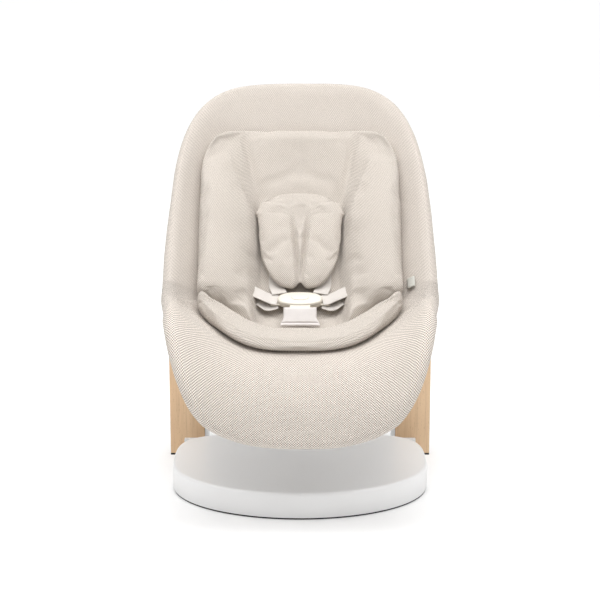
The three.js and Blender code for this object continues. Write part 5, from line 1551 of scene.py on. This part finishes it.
class BOUNCER_OT_pivot(Operator):
    """Build the cross tube, hub, springs and the toothed ring"""
    bl_idname = "bouncer.pivot"
    bl_label = "Pivot"

    def execute(self, context):
        fresh("cross_tube")
        hard = context.scene.bouncer_hard
        metal = painted_metal("Hub metal", hard.metal)
        steel = machined_steel("Spring steel", hard.steel, 0.22)
        white = moulded("Cup plastic", hard.white, 0.4)
        dark = moulded("Bush plastic", (0.05, 0.052, 0.058), 0.42)
        for name, node, inner, material, slot in (
                ("cross_tube", "pivot_tube", 0.0125, metal, "white_metal"),
                ("pivot_bush", "bush", TUBE_HOLE, dark, "bush_plastic"),
                ("hub_sleeve", "hub_core", 0.0191, metal, "white_metal")):
            low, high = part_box(node)
            outer = (high.z - low.z) / 2
            stand_for(crisp(turned_piece(name, chamfered(inner, outer, low.x, high.x))), material, slot, node)
        for side, prefix in ((-1, "left"), (1, "right")):
            stand_for(build_spring(side), steel, "steel", f"{prefix}_bounce_spring")
            stand_for(crisp(build_cup(side)), white, "white_plastic", f"{prefix}_spring_cup")
            stand_for(crisp(build_flange(side)), metal, "white_metal", f"{prefix}_flange")
        dress(steel, 0.0005, *both("flange_screw_1"), *both("flange_screw_2"), "recline_ring", "lever_pin",
              "bracket_screw_1", "bracket_screw_2", "lock_pawl")
        dress(metal, 0.0010, "seat_bracket")
        dress(white, 0.0014, "recline_lever")
        return {"FINISHED"}


class BOUNCER_OT_shell(Operator):
    """Build the moulded seat shell"""
    bl_idname = "bouncer.shell"
    bl_label = "Shell"

    def execute(self, context):
        fresh("seat_bucket")
        hard = context.scene.bouncer_hard
        plastic = moulded("Shell plastic", [0.92 * channel for channel in hard.white], 0.45, relief=0.2)
        stand_for(build_shell(), plastic, "shell_plastic", "seat_shell")
        dress(machined_steel("Anchor steel", hard.steel, 0.3), 0.0004, "shoulder_anchor", "crotch_anchor",
              *both("waist_anchor"))
        return {"FINISHED"}


class BOUNCER_OT_covers(Operator):
    """Build the two padded covers that meet along the curved seam"""
    bl_idname = "bouncer.covers"
    bl_label = "Covers"

    def execute(self, context):
        fresh("upper_padding")
        settings, hues = paddings(context), looks(context)
        fine = knit("Fine knit", hues, hues.upper_pitch, hues.shell_cream, hues.hole, 0.9)
        coarse = knit("Coarse knit", hues, hues.leg_pitch, hues.shell_cream, hues.hole, 0.95)
        make_cover("upper_padding", "seat_cover", settings, 0.0, 1, -0.002, fine, "fine_knit")
        make_cover("leg_padding", "leg_cover", settings, 0.0022, -1, 0.0, coarse, "coarse_knit")
        return {"FINISHED"}


class BOUNCER_OT_insert(Operator):
    """Build the newborn insert: its back with bolsters, its front roll and the tag"""
    bl_idname = "bouncer.insert"
    bl_label = "Insert"

    def execute(self, context):
        fresh("insert_cushion")
        settings = paddings(context)
        fabric = insert_knit(context)
        back = build_insert_back(settings)
        stand_for(back, fabric, "insert_knit", "insert_back")
        roll = build_insert_roll(settings)
        stand_for(roll, fabric, "insert_knit", "insert_roll")
        tag = build_tag()
        cloth = plain_weave("Tag cloth", (0.55, 0.545, 0.50), 0.0007)
        stand_for(tag, cloth, "tag_fabric", "fabric_tag")
        return {"FINISHED"}


class BOUNCER_OT_harness(Operator):
    """Build the harness pad, its straps and the crotch pad"""
    bl_idname = "bouncer.harness"
    bl_label = "Harness"

    def execute(self, context):
        fresh("chest_pad")
        settings, hard = paddings(context), context.scene.bouncer_hard
        pad = build_harness_pad(settings)
        stand_for(pad, insert_knit(context), "insert_knit", "harness_pad")
        webbing = woven_tape("Webbing", hard.tape, 0.0011)
        for side, prefix in ((-1, "left"), (1, "right")):
            stand_for(build_shoulder_strap(prefix, side), webbing, "webbing", f"{prefix}_shoulder_strap")
            strap, fold = build_waist_strap(prefix, side)
            stand_for(strap, webbing, "webbing", f"{prefix}_waist_strap")
            along_with(fold, webbing, "webbing", "seat")
        low_strap = tape("crotch_webbing", crotch_path(), [(1, 0, 0)])
        stand_for(low_strap, webbing, "webbing", "crotch_strap")
        cloth = plain_weave("Crotch cloth", hard.cloth, 0.0006)
        crotch = build_crotch_pad()
        stand_for(crotch, cloth, "crotch_fabric", "crotch_pad")
        return {"FINISHED"}


class BOUNCER_OT_buckle(Operator):
    """Build the oval buckle and dress its tongues"""
    bl_idname = "bouncer.buckle"
    bl_label = "Buckle"

    def execute(self, context):
        fresh("buckle_case")
        hard = context.scene.bouncer_hard
        plastic = moulded("Cream plastic", hard.cream, 0.24, relief=0.05, coat=0.3)
        body = build_oval("buckle_case", 0.037, 0.0165, 2.4, -0.0065, 0.0065, 0.0036, crown=0.0012)
        stand_for(body, plastic, "cream_plastic", "buckle_body")
        neck = build_oval("buckle_neck", 0.017, 0.0065, 5.0, -0.0039, 0.0039, 0.0012, (0.0, -0.0185))
        along_with(neck, plastic, "cream_plastic", "seat")
        button = build_oval("buckle_press", 0.015, 0.0075, 2.2, 0.0035, 0.0084, 0.0016, crown=0.0003)
        stand_for(button, plastic, "cream_plastic", "buckle_button")
        dress(plastic, 0.0005, *both("tongue"))
        return {"FINISHED"}


PIECES = (BOUNCER_OT_base, BOUNCER_OT_uprights, BOUNCER_OT_pivot, BOUNCER_OT_shell, BOUNCER_OT_covers,
          BOUNCER_OT_insert, BOUNCER_OT_harness, BOUNCER_OT_buckle)


SETTINGS = (("bouncer_knit", KnitLooks), ("bouncer_padding", PaddingSizes), ("bouncer_wood", WoodLooks),
            ("bouncer_hard", HardLooks), ("bouncer_stage", StageLooks))


class BOUNCER_PT_sidebar(Panel):
    """Lists the pieces of the bouncer seat and their settings"""
    bl_idname = "BOUNCER_PT_sidebar"
    bl_label = "Bouncer seat"
    bl_space_type = "VIEW_3D"
    bl_region_type = "UI"
    bl_category = "Bouncer seat"

    def draw(self, context):
        layout = self.layout
        scene = context.scene
        for operator in (BOUNCER_OT_stage,) + PIECES:
            layout.operator(operator.bl_idname)
        for group, _ in SETTINGS:
            box = layout.box()
            settings = getattr(scene, group)
            for key in settings.__annotations__:
                box.prop(settings, key)


def register():
    for _, group in SETTINGS:
        bpy.utils.register_class(group)
    for key, group in SETTINGS:
        setattr(bpy.types.Scene, key, PointerProperty(type=group))
    for kind in (BOUNCER_OT_stage,) + PIECES + (BOUNCER_PT_sidebar,):
        bpy.utils.register_class(kind)


def unregister():
    for kind in reversed((BOUNCER_OT_stage,) + PIECES + (BOUNCER_PT_sidebar,)):
        bpy.utils.unregister_class(kind)
    for key, group in reversed(SETTINGS):
        delattr(bpy.types.Scene, key)
        bpy.utils.unregister_class(group)


def main():
    register()
    bpy.ops.bouncer.stage()
    bpy.ops.bouncer.base()
    bpy.ops.bouncer.uprights()
    bpy.ops.bouncer.pivot()
    bpy.ops.bouncer.shell()
    bpy.ops.bouncer.covers()
    bpy.ops.bouncer.insert()
    bpy.ops.bouncer.harness()
    bpy.ops.bouncer.buckle()
    bpy.context.view_layer.update()


if __name__ == "__main__":
    main()
